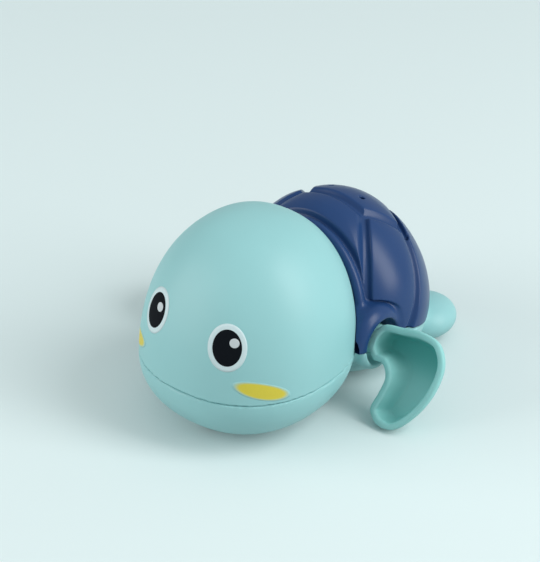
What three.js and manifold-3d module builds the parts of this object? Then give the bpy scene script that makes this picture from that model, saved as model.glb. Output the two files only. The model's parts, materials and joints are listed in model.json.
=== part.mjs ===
// Wind-up swimming turtle for the bath.
// Millimetres, +Z up. The head faces -Y, the turtle's left is +X.
// The origin is the middle of the belly's flat, on the surface that the toy stands on.

import * as THREE from 'three';
import { mergeVertices } from 'three/addons/utils/BufferGeometryUtils.js';
import Module from 'manifold-3d';

const wasm = await Module();
wasm.setup();

// Fits and walls
const FIT_GAP = 0.3;
const SEAM_GAP = 0.3;
const WALL = 1.8;

// Parting line: mouth and axle lie at one height, behind the axle bosses the shell reaches lower
const SEAM_Z = 18.6;
const RIM_DROP = 4;
const RIM_LEVEL_Y = 8;

// Head
const HEAD_RADIUS = 28;
const HEAD_AXIS_Y = -36.2;
const HEAD_DOME = 38.7;
const JAW_DEPTH = 19.2;
const HEAD_PLAN_POWER = 2.2;
const HEAD_DOME_POWER = 2.2;
const JAW_POWER = 2.1;
const HEAD_LEAN = 0.08;
const HEAD_LAP = 1.5;

// Shell and belly
const SHELL_OVERHANG = 0.6;
const SHELL_HALF_LENGTH = 26.8;
const SHELL_HEIGHT = 30.4;
const SHELL_POWER = 1.85;
const BELLY_DEPTH = 19.6;
const BELLY_POWER = 2.3;

// Scutes, seen from above on the left half, and the collar round the head
const TOP_SCUTE_FRONT = [9.8, 0.9];
const TOP_SCUTE_SIDE = [16.4, 9.4];
const TOP_SCUTE_REAR = [0, 18];
const FRONT_GROOVE_AIM = [33, -25.6];
const SIDE_GROOVE_MIDDLE = [24.2, 6.3];
const SIDE_GROOVE_RIM_Y = -1.2;
const SCUTE_RISE = 1.2;
const GROOVE_FLOOR = 1.2;
const GROOVE_MOUTH = 3.2;
const COLLAR_WIDTH = 2.8;
const COLLAR_RISE = 1.5;
const COLLAR_ROUND = 0.9;
const VENT_RADIUS = 0.9;
const VENT_X = 4.9;
const VENT_Y = 7;

// Axle, its bosses and bushes
const AXLE_Y = -12.1;
const AXLE_RADIUS = 1.5;
const BOSS_RADIUS = 8.3;
const BOSS_INSET = 1.5;
const BOSS_ROUND = 1.8;
const BOSS_DEPTH = 9.6;
const CUP_RADIUS = 6.6;
const CUP_DEPTH = 6.6;
const BOSS_LEDGE = 2.6;
const BUSH_RADIUS = 3.3;
const BUSH_FLANGE_RADIUS = 5;
const BUSH_FLANGE = 1.2;

// Flippers: outline and spine out from the boss face and down the paddle, whose face lies ahead of the axle
const FLIPPER_OUTLINE = [
  [-2.3, -0.2], [-0.1, 3.6], [3.5, 4.4], [5.5, 7.8], [4.8, 12.6], [3.9, 17.7], [7.3, 20.8], [12.4, 20.5],
  [17.6, 15], [21.1, 7], [21.5, -1.3], [17.9, -6.5], [12.1, -7.5], [6.1, -6.5], [-0.1, -4.9],
];
const FLIPPER_SPINE = [[0.9, -0.4], [6.9, -1], [12.4, 0.5], [13.9, 5], [12.3, 11], [8.9, 16.4]];
const FLIPPER_FACE = 3.2;
const FLIPPER_DEPTH = 7.4;
const FLIPPER_RIM = 2;
const FLIPPER_FLOOR = 1.6;
const FLIPPER_BACK_TAPER = 0.56;
const FLIPPER_DISH_TAPER = 0.42;
const FLIPPER_SWING = 27;
const FLIPPER_PHASE = 90;
const HUB_RADIUS = 4.2;
const SOCKET_FLOOR = 0.6;
const BACK_ROUND = 0.1;
const BACK_CURVE = 1.5;
const PADDLE_LEVELS = [0, 0.12, 0.4, 1];

// Hind feet
const FOOT_X = 16.5;
const FOOT_Y = 21.5;
const FOOT_Z = 6.1;
const FOOT_HALF_WIDTH = 9;
const FOOT_HALF_LENGTH = 9.5;
const FOOT_HALF_HEIGHT = 5.7;

// Clockwork: tooth counts and modules, faces across the body, places along it
const AXLE_PINION_TEETH = 12;
const INTER_WHEEL_TEETH = 24;
const FAST_MODULE = 0.6;
const INTER_PINION_TEETH = 10;
const GREAT_WHEEL_TEETH = 36;
const SLOW_MODULE = 0.7;
const ADDENDUM = 0.85;
const DEDENDUM = 1.2;
const TIP_SHARE = 0.2;
const ROOT_SHARE = 0.56;
const PINION_LENGTH = 4;
const INTER_WHEEL_THICKNESS = 2;
const GREAT_WHEEL_THICKNESS = 2;
const ARBOR_RADIUS = 1.2;
const SPRING_ARBOR_RADIUS = 2;
const SPRING_ARBOR_Y = 7;
const SPRING_ARBOR_Z = 23.6;

// Mainspring
const SPRING_TURNS = 5.25;
const SPRING_STRIP = 0.35;
const SPRING_PITCH = 1.6;
const SPRING_WIDTH = 5;
const SPRING_POST_RADIUS = 0.9;

// Motor frame
const FRAME_HALF_SPAN = 8;
const PLATE = 1.4;
const PLATE_MARGIN = 4.2;
const PILLAR_RADIUS = 1.5;
const PILLAR_CLEARANCE = 1.5;
const FRAME_FOOT_Z = 6.6;
const FRAME_FOOT_Y = 2;
const FRAME_FOOT_LENGTH = 7;
const FRAME_FOOT_REACH = 8;

// Screws and the posts that take them
const SCREW_RADIUS = 1.2;
const SCREW_HEAD_RADIUS = 2.3;
const SCREW_HEAD = 1.7;
const POST_RADIUS = 3.2;
const SHELL_POST_X = 17.5;
const SHELL_POST_Y = 9;
const HEAD_POST_Y = -50;
const CASE_SCREW_GRIP = 5;
const CASE_SCREW_BITE = 7;
const MOTOR_SCREW_BITE = 3.5;

// Facets
const FORM_SEGMENTS = 32;
const FORM_RINGS = 7;
const HOLLOW_SEGMENTS = 20;
const HOLLOW_RINGS = 5;
const FOOT_SEGMENTS = 16;
const FOOT_RINGS = 8;
const ROUND_SEGMENTS = 20;
const POST_SEGMENTS = 14;
const PIN_SEGMENTS = 12;
const BEND_STEPS = 4;
const EDGE_STEPS = 44;
const SPIRAL_STEPS = 18;

// Lengths for cutting tools: one that passes everything, one that passes a face
const REACH = 120;
const OVERCUT = 1;

// Finishes
const TEAL = { color: 0x8fd0d2, roughness: 0.55, metalness: 0 };
const MINT = { color: 0x8fd6c8, roughness: 0.5, metalness: 0 };
const NAVY = { color: 0x2f4f86, roughness: 0.25, metalness: 0 };
const ACETAL = { color: 0xe8e6dc, roughness: 0.45, metalness: 0 };
const STEEL = { color: 0x9a9da2, roughness: 0.35, metalness: 1 };
const BRASS = { color: 0xb9974f, roughness: 0.35, metalness: 1 };
const SPRING_STEEL = { color: 0x4c5566, roughness: 0.3, metalness: 1 };

const turtle = new THREE.Group();
turtle.name = 'swimming_turtle';

// Solids: from a closed three.js geometry to one that can be joined and cut, and back

function solid(geometry) {
  const bare = geometry.clone();
  bare.deleteAttribute('normal');
  bare.deleteAttribute('uv');
  const merged = mergeVertices(bare, 1e-4);
  const place = merged.getAttribute('position');
  const corners = [];
  for (let i = 0; i < merged.index.count; i += 3) {
    const [a, b, c] = [0, 1, 2].map((k) => merged.index.getX(i + k));
    if (a !== b && b !== c && c !== a) {
      corners.push(a, b, c);
    }
  }
  if (signedVolume(place, corners) < 0) {
    corners.reverse();
  }
  return new wasm.Manifold(new wasm.Mesh({
    numProp: 3,
    vertProperties: new Float32Array(place.array),
    triVerts: new Uint32Array(corners),
  }));
}

function signedVolume(place, corners) {
  const [a, b, c] = [new THREE.Vector3(), new THREE.Vector3(), new THREE.Vector3()];
  let sum = 0;
  for (let i = 0; i < corners.length; i += 3) {
    a.fromBufferAttribute(place, corners[i]);
    b.fromBufferAttribute(place, corners[i + 1]);
    c.fromBufferAttribute(place, corners[i + 2]);
    sum += a.dot(b.cross(c));
  }
  return sum;
}

function geometryOf(body) {
  const mesh = body.getMesh();
  const geometry = new THREE.BufferGeometry();
  geometry.setAttribute('position', new THREE.BufferAttribute(Float32Array.from(mesh.vertProperties), 3));
  geometry.setIndex(new THREE.BufferAttribute(Uint32Array.from(mesh.triVerts), 1));
  geometry.computeVertexNormals();
  return geometry;
}

function addPiece(name, body, finish, parent = turtle) {
  const mesh = new THREE.Mesh(geometryOf(body), new THREE.MeshStandardMaterial(finish));
  mesh.name = name;
  parent.add(mesh);
  return mesh;
}

// Plain forms

function block(x0, x1, y0, y1, z0, z1) {
  const box = new THREE.BoxGeometry(x1 - x0, y1 - y0, z1 - z0);
  box.translate((x0 + x1) / 2, (y0 + y1) / 2, (z0 + z1) / 2);
  return solid(box);
}

const above = (z) => block(-REACH, REACH, -REACH, REACH, z, z + REACH);
const below = (z) => block(-REACH, REACH, -REACH, REACH, z - REACH, z);

function rodAcross(radius, x0, x1, y, z, segments = ROUND_SEGMENTS) {
  const rod = new THREE.CylinderGeometry(radius, radius, x1 - x0, segments);
  rod.rotateZ(Math.PI / 2);
  rod.translate((x0 + x1) / 2, y, z);
  return solid(rod);
}

function rodUpright(radius, z0, z1, x, y, segments = POST_SEGMENTS) {
  const rod = new THREE.CylinderGeometry(radius, radius, z1 - z0, segments);
  rod.rotateX(Math.PI / 2);
  rod.translate(x, y, (z0 + z1) / 2);
  return solid(rod);
}

function joined(bodies) {
  return bodies.reduce((sum, body) => sum.add(body));
}

// A round form about its widest section: a dome above, a bowl below, with a squared-off plan.
// Powers of 2 give an ellipsoid, higher ones fuller forms. Hollows have fewer facets.
function bulb({ halfX, halfY, up, down, upPower, downPower, planPower, hollow }) {
  const rings = hollow ? HOLLOW_RINGS : FORM_RINGS;
  const segments = hollow ? HOLLOW_SEGMENTS : FORM_SEGMENTS;
  const profile = [];
  for (let i = -rings; i <= rings; i += 1) {
    const turn = (i / rings) * (Math.PI / 2);
    const power = i < 0 ? downPower : upPower;
    const height = i < 0 ? -down : up;
    const radius = Math.abs(i) === rings ? 0 : Math.cos(turn) ** (2 / power);
    profile.push(new THREE.Vector2(radius, height * Math.abs(Math.sin(turn)) ** (2 / power)));
  }
  const form = new THREE.LatheGeometry(profile, segments);
  form.rotateX(Math.PI / 2);
  const place = form.getAttribute('position');
  for (let i = 0; i < place.count; i += 1) {
    const [x, y] = [place.getX(i), place.getY(i)];
    const radius = Math.hypot(x, y);
    const squared = (Math.abs(x) ** planPower + Math.abs(y) ** planPower) ** (1 / planPower);
    const scale = squared > 0 ? radius / squared : 0;
    place.setXY(i, x * scale * halfX, y * scale * halfY);
  }
  return form;
}

function headForm(grow, hollow = false) {
  const form = bulb({
    halfX: HEAD_RADIUS + grow,
    halfY: HEAD_RADIUS + grow,
    up: HEAD_DOME + grow,
    down: JAW_DEPTH + grow,
    upPower: HEAD_DOME_POWER,
    downPower: JAW_POWER,
    planPower: HEAD_PLAN_POWER,
    hollow,
  });
  const lean = new THREE.Matrix4().makeShear(0, 0, 0, 0, 0, HEAD_LEAN);
  form.applyMatrix4(lean);
  form.translate(0, HEAD_AXIS_Y, SEAM_Z);
  return solid(form);
}

// The shell is a little wider than the head, and the axle bosses stand back from its widest line
const shellHalfWidth = HEAD_RADIUS + SHELL_OVERHANG;
const bossFaceX = shellHalfWidth - BOSS_INSET;

function shellForm(grow, hollow = false) {
  const form = bulb({
    halfX: shellHalfWidth + grow,
    halfY: SHELL_HALF_LENGTH + grow,
    up: SHELL_HEIGHT + grow,
    down: BELLY_DEPTH + grow,
    upPower: SHELL_POWER,
    downPower: BELLY_POWER,
    planPower: SHELL_POWER,
    hollow,
  });
  form.translate(0, 0, SEAM_Z);
  return solid(form);
}

// A flat outline in y and z, drawn out across the body from one x to another
function acrossBody(outline, x0, x1) {
  const settings = { depth: x1 - x0, bevelEnabled: false, curveSegments: PIN_SEGMENTS };
  const form = new THREE.ExtrudeGeometry(outline, settings);
  form.rotateY(Math.PI / 2);
  form.rotateX(Math.PI / 2);
  form.translate(x0, 0, 0);
  return solid(form);
}

// Everything above or below the parting line
const rimStartY = AXLE_Y + BOSS_RADIUS;

function partingZ(y) {
  const share = THREE.MathUtils.clamp((y - rimStartY) / (RIM_LEVEL_Y - rimStartY), 0, 1);
  return SEAM_Z - RIM_DROP * share;
}

function partingSide(direction) {
  const line = [-REACH, rimStartY, RIM_LEVEL_Y, REACH].map((y) =>
    new THREE.Vector2(y, partingZ(y) + (direction * SEAM_GAP) / 2));
  const corners = [REACH, -REACH].map((y) => new THREE.Vector2(y, direction * REACH));
  return acrossBody(new THREE.Shape([...line, ...corners]), -REACH, REACH);
}

const headHollow = headForm(-WALL, true);
const upperSide = partingSide(1);
const lowerSide = partingSide(-1);
const postPilot = SCREW_RADIUS + FIT_GAP;
const casePilot = (x, y) => rodUpright(postPilot, 0, partingZ(y) + CASE_SCREW_BITE + FIT_GAP, x, y);

// Axle bosses: a round cup in each flank, split by the parting plane, with a bush seat in its floor
const cupFloorX = bossFaceX - CUP_DEPTH;
const bossInnerX = bossFaceX - BOSS_DEPTH;

function bossForm(side) {
  const profile = [new THREE.Vector2(0, bossInnerX), new THREE.Vector2(BOSS_RADIUS, bossInnerX)];
  for (let i = 0; i <= BEND_STEPS; i += 1) {
    const turn = (i / BEND_STEPS) * (Math.PI / 2);
    const radius = BOSS_RADIUS - BOSS_ROUND * (1 - Math.cos(turn));
    profile.push(new THREE.Vector2(radius, bossFaceX - BOSS_ROUND * (1 - Math.sin(turn))));
  }
  profile.push(new THREE.Vector2(0, bossFaceX));
  const form = new THREE.LatheGeometry(profile, ROUND_SEGMENTS);
  form.rotateZ(-side * (Math.PI / 2));
  form.translate(0, AXLE_Y, SEAM_Z);
  return solid(form);
}

// A rod on the axle's line, from one distance off the middle plane to another
function axleRod(side, radius, near, far) {
  return side > 0
    ? rodAcross(radius, near, far, AXLE_Y, SEAM_Z)
    : rodAcross(radius, -far, -near, AXLE_Y, SEAM_Z);
}

function bossBore(side) {
  const [near, far] = [bossInnerX - OVERCUT, bossFaceX + OVERCUT];
  return axleRod(side, CUP_RADIUS, cupFloorX, far).add(axleRod(side, BUSH_RADIUS + FIT_GAP, near, far));
}

const bossClearance = (side) => axleRod(side, BOSS_RADIUS + FIT_GAP, bossInnerX - FIT_GAP, REACH);
const bosses = bossForm(1).add(bossForm(-1));
const bossBores = bossBore(1).add(bossBore(-1));

// Head cover: open below into the jaw and behind into the shell, lapped under the shell's front edge
function headCover() {
  const wall = headForm(0).subtract(headHollow);
  const post = rodUpright(POST_RADIUS, 0, REACH, 0, HEAD_POST_Y).intersect(headForm(-WALL / 2));
  const lap = shellForm(-SCUTE_RISE - WALL - HEAD_LAP, true);
  return wall
    .subtract(lap)
    .add(post)
    .intersect(upperSide)
    .subtract(joined([1, -1].map(bossClearance)))
    .subtract(casePilot(0, HEAD_POST_Y));
}

// Scutes: plates raised from the shell inside these plan outlines, with grooves left between them
const across = ([x, y]) => [-x, y];
const topScuteLeft = [TOP_SCUTE_FRONT, TOP_SCUTE_SIDE, TOP_SCUTE_REAR];
const topScute = [across(TOP_SCUTE_FRONT), ...topScuteLeft, across(TOP_SCUTE_SIDE)];
const frontScute = [across(FRONT_GROOVE_AIM), FRONT_GROOVE_AIM, TOP_SCUTE_FRONT, across(TOP_SCUTE_FRONT)];
const farCorners = [[FRONT_GROOVE_AIM[0], REACH / 2], [0, REACH / 2]];
const leftScutes = [TOP_SCUTE_FRONT, FRONT_GROOVE_AIM, ...farCorners, TOP_SCUTE_REAR, TOP_SCUTE_SIDE];
const rightScutes = leftScutes.map(across).reverse();

// Height of the shell's form over a point in plan, and its half width at the parting line
const shellShare = (share) => Math.max(0, share) ** (1 / SHELL_POWER);
const shellTaken = (at, half) => Math.abs(at / half) ** SHELL_POWER;
const shellWidthAt = (y) => shellHalfWidth * shellShare(1 - shellTaken(y, SHELL_HALF_LENGTH));
const shellHeightAt = (x, y) =>
  SHELL_HEIGHT * shellShare(1 - shellTaken(x, shellHalfWidth) - shellTaken(y, SHELL_HALF_LENGTH));

// The groove down each side lies in a tilted plane, from the top scute's corner to the rim
function sideGroove(side, width) {
  const [top, middle] = [TOP_SCUTE_SIDE, SIDE_GROOVE_MIDDLE].map(([x, y]) =>
    new THREE.Vector3(x, y, SEAM_Z + shellHeightAt(x, y)));
  const rim = new THREE.Vector3(shellWidthAt(SIDE_GROOVE_RIM_Y), SIDE_GROOVE_RIM_Y, SEAM_Z);
  const plane = new THREE.Plane().setFromCoplanarPoints(top, middle, rim);
  const slab = new THREE.BoxGeometry(REACH, REACH, width);
  slab.applyQuaternion(new THREE.Quaternion().setFromUnitVectors(new THREE.Vector3(0, 0, 1), plane.normal));
  slab.translate(middle.x, middle.y, middle.z);
  slab.scale(side, 1, 1);
  return solid(slab);
}

// Moves each side of an outline, drawn anticlockwise, inwards by the same distance
function inset(outline, distance) {
  const count = outline.length;
  const sides = outline.map(([x0, y0], i) => {
    const [x1, y1] = outline[(i + 1) % count];
    const length = Math.hypot(x1 - x0, y1 - y0);
    const [nx, ny] = [-(y1 - y0) / length, (x1 - x0) / length];
    return { nx, ny, reach: nx * x0 + ny * y0 + distance };
  });
  return sides.map((b, i) => {
    const a = sides[(i + count - 1) % count];
    const det = a.nx * b.ny - b.nx * a.ny;
    const x = (a.reach * b.ny - b.reach * a.ny) / det;
    const y = (a.nx * b.reach - b.nx * a.reach) / det;
    return new THREE.Vector2(x, y);
  });
}

// One layer of the scutes: the shell grown by a height, inside outlines that leave a groove of a width
function scuteLayer(grow, groove) {
  const prism = (outline) => {
    const shape = new THREE.Shape(inset(outline, groove / 2));
    return solid(new THREE.ExtrudeGeometry(shape, { depth: REACH, bevelEnabled: false }));
  };
  const left = prism(leftScutes).subtract(sideGroove(1, groove));
  const right = prism(rightScutes).subtract(sideGroove(-1, groove));
  const ledge = rodAcross(BOSS_RADIUS + BOSS_LEDGE, -REACH, REACH, AXLE_Y, SEAM_Z);
  return joined([prism(topScute), prism(frontScute), left, right])
    .intersect(shellForm(grow))
    .subtract(headForm(FIT_GAP + COLLAR_WIDTH + groove))
    .subtract(ledge);
}

function collar() {
  const reach = FIT_GAP + COLLAR_WIDTH;
  const outer = shellForm(COLLAR_RISE - SCUTE_RISE).intersect(headForm(reach - COLLAR_ROUND));
  const shoulder = shellForm(COLLAR_RISE / 2 - SCUTE_RISE).intersect(headForm(reach));
  return outer.add(shoulder);
}

// Carapace: the raised scutes, the collar round the head, the upper halves of the bosses and two screw posts
function carapace() {
  const hollow = shellForm(-SCUTE_RISE - WALL, true);
  const outside = joined([
    shellForm(-SCUTE_RISE),
    scuteLayer(-SCUTE_RISE / 2, GROOVE_FLOOR),
    scuteLayer(0, GROOVE_MOUTH),
    collar(),
  ]);
  const posts = [1, -1].map((side) => rodUpright(POST_RADIUS, 0, REACH, side * SHELL_POST_X, SHELL_POST_Y));
  const pilots = [1, -1].map((side) => casePilot(side * SHELL_POST_X, SHELL_POST_Y));
  const vents = [1, -1].map((side) =>
    rodUpright(VENT_RADIUS, SEAM_Z, REACH, side * VENT_X, VENT_Y, PIN_SEGMENTS));
  return outside
    .subtract(hollow)
    .add(joined(posts).intersect(shellForm(-SCUTE_RISE - WALL / 2, true)))
    .subtract(headForm(FIT_GAP))
    .add(bosses)
    .intersect(upperSide)
    .subtract(joined([bossBores, ...pilots, ...vents]));
}

// Lower hull: jaw, belly, hind feet and the lower halves of the bosses in one moulding
const caseScrewPlaces = [[0, HEAD_POST_Y], [SHELL_POST_X, SHELL_POST_Y], [-SHELL_POST_X, SHELL_POST_Y]];
const caseScrewSeat = (y) => partingZ(y) - CASE_SCREW_GRIP;
const motorPostX = FRAME_HALF_SPAN + FRAME_FOOT_REACH / 2 + PLATE;

function hindFoot(side) {
  const form = new THREE.SphereGeometry(1, FOOT_SEGMENTS, FOOT_RINGS);
  form.scale(FOOT_HALF_WIDTH, FOOT_HALF_LENGTH, FOOT_HALF_HEIGHT);
  form.translate(side * FOOT_X, FOOT_Y, FOOT_Z);
  return solid(form);
}

function lowerHull() {
  const body = headForm(0).add(shellForm(0));
  const hollow = headHollow.add(shellForm(-WALL, true)).intersect(above(WALL));
  const tubes = caseScrewPlaces.map(([x, y]) => rodUpright(POST_RADIUS, 0, SEAM_Z, x, y).intersect(body));
  const counterbores = caseScrewPlaces.map(([x, y]) =>
    rodUpright(SCREW_HEAD_RADIUS + FIT_GAP, -OVERCUT, caseScrewSeat(y), x, y));
  const clearances = caseScrewPlaces.map(([x, y]) => rodUpright(postPilot, -OVERCUT, SEAM_Z + OVERCUT, x, y));
  const motorPosts = [1, -1].map((side) =>
    rodUpright(POST_RADIUS, 0, FRAME_FOOT_Z - FIT_GAP, side * motorPostX, FRAME_FOOT_Y).intersect(body));
  const motorPilotEnd = FRAME_FOOT_Z - MOTOR_SCREW_BITE - FIT_GAP;
  const motorPilots = [1, -1].map((side) =>
    rodUpright(postPilot, motorPilotEnd, SEAM_Z, side * motorPostX, FRAME_FOOT_Y));
  return body
    .add(hindFoot(1))
    .add(hindFoot(-1))
    .subtract(hollow)
    .add(joined([bosses, ...tubes, ...motorPosts]))
    .intersect(lowerSide)
    .intersect(above(0))
    .subtract(joined([bossBores, ...counterbores, ...clearances, ...motorPilots]));
}

addPiece('head_cover', headCover(), TEAL);
addPiece('carapace', carapace(), NAVY);
addPiece('lower_hull', lowerHull(), TEAL);

// Case screws, driven from below
function screw(bite, grip) {
  const head = rodUpright(SCREW_HEAD_RADIUS, 0, SCREW_HEAD, 0, 0);
  const tip = SCREW_HEAD + FIT_GAP + grip + bite;
  const shank = rodUpright(SCREW_RADIUS, SCREW_HEAD / 2, tip, 0, 0, PIN_SEGMENTS);
  return head.add(shank);
}

['front', 'rear_left', 'rear_right'].forEach((place, i) => {
  const piece = addPiece(`case_screw_${place}`, screw(CASE_SCREW_BITE, CASE_SCREW_GRIP), STEEL);
  const [x, y] = caseScrewPlaces[i];
  piece.position.set(x, y, caseScrewSeat(y) - SCREW_HEAD - FIT_GAP);
});

// Bushes: flanged sleeves held in the floors of the boss cups
function bush() {
  const sleeve = rodAcross(BUSH_RADIUS, bossInnerX, cupFloorX + FIT_GAP, 0, 0);
  const flangeX = cupFloorX + FIT_GAP;
  const flange = rodAcross(BUSH_FLANGE_RADIUS, flangeX, flangeX + BUSH_FLANGE, 0, 0);
  return sleeve.add(flange).subtract(rodAcross(AXLE_RADIUS + FIT_GAP, 0, REACH, 0, 0));
}

const driveLine = new THREE.Group();
driveLine.position.set(0, AXLE_Y, SEAM_Z);
turtle.add(driveLine);
addPiece('axle_bush_left', bush(), ACETAL, driveLine);
addPiece('axle_bush_right', bush(), ACETAL, driveLine).rotation.z = Math.PI;

// Flippers: a dished paddle with a rounded back, and a hub that reaches through the cup to the axle.
// They are set apart on the axle by a phase, so that they don't push at the same time.
const hubInnerX = cupFloorX + BUSH_FLANGE + 2 * FIT_GAP;
const hubOuterX = bossFaceX + Math.min(...FLIPPER_OUTLINE.map(([out]) => out)) + FLIPPER_RIM;

// The paddle's edge, moved in by a rim, then each point drawn towards the spine by a share of the way
function paddleRing(rim, taper) {
  const knots = (list) => list.map(([out, down]) => new THREE.Vector3(bossFaceX + out, -down, 0));
  const outline = new THREE.CatmullRomCurve3(knots(FLIPPER_OUTLINE), true);
  const edge = outline.getSpacedPoints(EDGE_STEPS).slice(0, -1);
  const spine = new THREE.CatmullRomCurve3(knots(FLIPPER_SPINE)).getSpacedPoints(EDGE_STEPS);
  return edge.map((point, i) => {
    const before = edge[(i + edge.length - 1) % edge.length];
    const after = edge[(i + 1) % edge.length];
    const along = after.clone().sub(before).normalize();
    const inside = new THREE.Vector3(point.x - along.y * rim, point.y + along.x * rim, 0);
    const nearest = spine.reduce((best, at) => (at.distanceTo(inside) < best.distanceTo(inside) ? at : best));
    return inside.lerp(nearest, taper);
  });
}

// A closed body through rings of equal counts of points, each ring at its own height, with flat ends
function loft(rings) {
  const count = rings[0].points.length;
  const place = rings.flatMap(({ points, height }) => points.flatMap(({ x, y }) => [x, y, height]));
  const faces = [];
  for (let r = 0; r + 1 < rings.length; r += 1) {
    for (let i = 0; i < count; i += 1) {
      const [a, b] = [r * count + i, r * count + ((i + 1) % count)];
      faces.push(a, b, b + count, a, b + count, a + count);
    }
  }
  const top = (rings.length - 1) * count;
  const [firstEnd, lastEnd] = [rings[0], rings.at(-1)].map(({ points }) =>
    THREE.ShapeUtils.triangulateShape(points, []));
  firstEnd.forEach(([a, b, c]) => faces.push(a, c, b));
  lastEnd.forEach(([a, b, c]) => faces.push(top + a, top + b, top + c));
  const form = new THREE.BufferGeometry();
  form.setAttribute('position', new THREE.Float32BufferAttribute(place, 3));
  form.setIndex(faces);
  return solid(form);
}

// Rings of the paddle and of its dish, from the back to the face: the nearer the back, the further drawn in
function flipper() {
  const back = FLIPPER_FACE - FLIPPER_DEPTH;
  const rings = (rim, floor, face, taper) => PADDLE_LEVELS.map((share) => ({
    points: paddleRing(rim, taper * (1 - share) ** BACK_CURVE + (share === 0 ? BACK_ROUND : 0)),
    height: floor + share * (face - floor),
  }));
  const outside = loft(rings(0, back, FLIPPER_FACE, FLIPPER_BACK_TAPER));
  const dish = loft(rings(FLIPPER_RIM, back + FLIPPER_FLOOR, FLIPPER_FACE + OVERCUT, FLIPPER_DISH_TAPER));
  const hub = rodAcross(HUB_RADIUS, hubInnerX, hubOuterX, 0, 0).intersect(below(FLIPPER_FACE));
  const socket = rodAcross(AXLE_RADIUS + FIT_GAP, hubInnerX - OVERCUT, hubOuterX - SOCKET_FLOOR, 0, 0);
  return outside.subtract(dish).add(hub).subtract(socket);
}

const mirrorX = new THREE.Matrix4().makeScale(-1, 1, 1);
const restTurn = Math.PI / 2 - THREE.MathUtils.degToRad(FLIPPER_SWING);
const phaseTurn = THREE.MathUtils.degToRad(FLIPPER_PHASE);
const leftPaddle = flipper();
const rightPaddle = solid(geometryOf(leftPaddle).applyMatrix4(mirrorX));
addPiece('flipper_left', leftPaddle, MINT, driveLine).rotation.x = restTurn;
addPiece('flipper_right', rightPaddle, MINT, driveLine).rotation.x = restTurn + phaseTurn;

// Drive axle, from socket to socket
const axleEndX = hubOuterX - SOCKET_FLOOR - FIT_GAP;
addPiece('drive_axle', rodAcross(AXLE_RADIUS, -axleEndX, axleEndX, 0, 0), STEEL, driveLine);

// Gears: straight-flanked teeth, a tooth centred on the angle given, measured from +Y towards +Z
function gear(teeth, module, length, bore, angle) {
  const pitchRadius = (teeth * module) / 2;
  const step = (2 * Math.PI) / teeth;
  const points = [];
  for (let i = 0; i < teeth; i += 1) {
    const middle = angle + i * step;
    const corners = [
      [pitchRadius - DEDENDUM * module, -ROOT_SHARE / 2],
      [pitchRadius + ADDENDUM * module, -TIP_SHARE / 2],
      [pitchRadius + ADDENDUM * module, TIP_SHARE / 2],
      [pitchRadius - DEDENDUM * module, ROOT_SHARE / 2],
    ];
    corners.forEach(([radius, share]) => {
      const turn = middle + share * step;
      points.push(new THREE.Vector2(radius * Math.cos(turn), radius * Math.sin(turn)));
    });
  }
  const shape = new THREE.Shape(points);
  const hole = new THREE.Path();
  hole.absarc(0, 0, bore, 0, 2 * Math.PI);
  shape.holes.push(hole);
  return acrossBody(shape, -length / 2, length / 2);
}

// Train: the spring arbor drives the intermediate pinion, whose wheel drives the axle pinion
const axlePlace = new THREE.Vector2(AXLE_Y, SEAM_Z);
const springPlace = new THREE.Vector2(SPRING_ARBOR_Y, SPRING_ARBOR_Z);
const fastDistance = ((AXLE_PINION_TEETH + INTER_WHEEL_TEETH) * FAST_MODULE) / 2;
const slowDistance = ((INTER_PINION_TEETH + GREAT_WHEEL_TEETH) * SLOW_MODULE) / 2;

// The point at the given distances from two others, on the left of the line from the first to the second
function leftMeeting(a, b, fromA, fromB) {
  const span = a.distanceTo(b);
  const along = (fromA ** 2 - fromB ** 2 + span ** 2) / (2 * span);
  const rise = Math.sqrt(fromA ** 2 - along ** 2);
  const unit = b.clone().sub(a).divideScalar(span);
  return new THREE.Vector2(a.x + unit.x * along - unit.y * rise, a.y + unit.y * along + unit.x * rise);
}

const interPlace = leftMeeting(axlePlace, springPlace, fastDistance, slowDistance);
const towards = (from, to) => Math.atan2(to.y - from.y, to.x - from.x);
const halfTooth = (teeth) => Math.PI / teeth;

addPiece('axle_pinion', gear(AXLE_PINION_TEETH, FAST_MODULE, PINION_LENGTH, AXLE_RADIUS + FIT_GAP,
  towards(axlePlace, interPlace)), BRASS, driveLine);

const interLine = new THREE.Group();
interLine.position.set(0, interPlace.x, interPlace.y);
turtle.add(interLine);
const arborEndX = FRAME_HALF_SPAN + PLATE;
const interBore = ARBOR_RADIUS + FIT_GAP;
const interArbor = rodAcross(ARBOR_RADIUS, -arborEndX, arborEndX, 0, 0, PIN_SEGMENTS);
addPiece('intermediate_arbor', interArbor, STEEL, interLine);
addPiece('intermediate_wheel', gear(INTER_WHEEL_TEETH, FAST_MODULE, INTER_WHEEL_THICKNESS, interBore,
  towards(interPlace, axlePlace) + halfTooth(INTER_WHEEL_TEETH)), BRASS, interLine);
const interPinionX = INTER_WHEEL_THICKNESS / 2 + FIT_GAP + PINION_LENGTH / 2;
addPiece('intermediate_pinion', gear(INTER_PINION_TEETH, SLOW_MODULE, PINION_LENGTH, interBore,
  towards(interPlace, springPlace)), BRASS, interLine).position.x = interPinionX;

const springLine = new THREE.Group();
springLine.position.set(0, SPRING_ARBOR_Y, SPRING_ARBOR_Z);
turtle.add(springLine);
const springArbor = rodAcross(SPRING_ARBOR_RADIUS, -arborEndX, arborEndX, 0, 0, POST_SEGMENTS);
addPiece('spring_arbor', springArbor, STEEL, springLine);
const greatBore = SPRING_ARBOR_RADIUS + FIT_GAP;
const greatWheel = gear(GREAT_WHEEL_TEETH, SLOW_MODULE, GREAT_WHEEL_THICKNESS, greatBore,
  towards(springPlace, interPlace) + halfTooth(GREAT_WHEEL_TEETH));
addPiece('great_wheel', greatWheel, BRASS, springLine).position.x = interPinionX;

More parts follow.
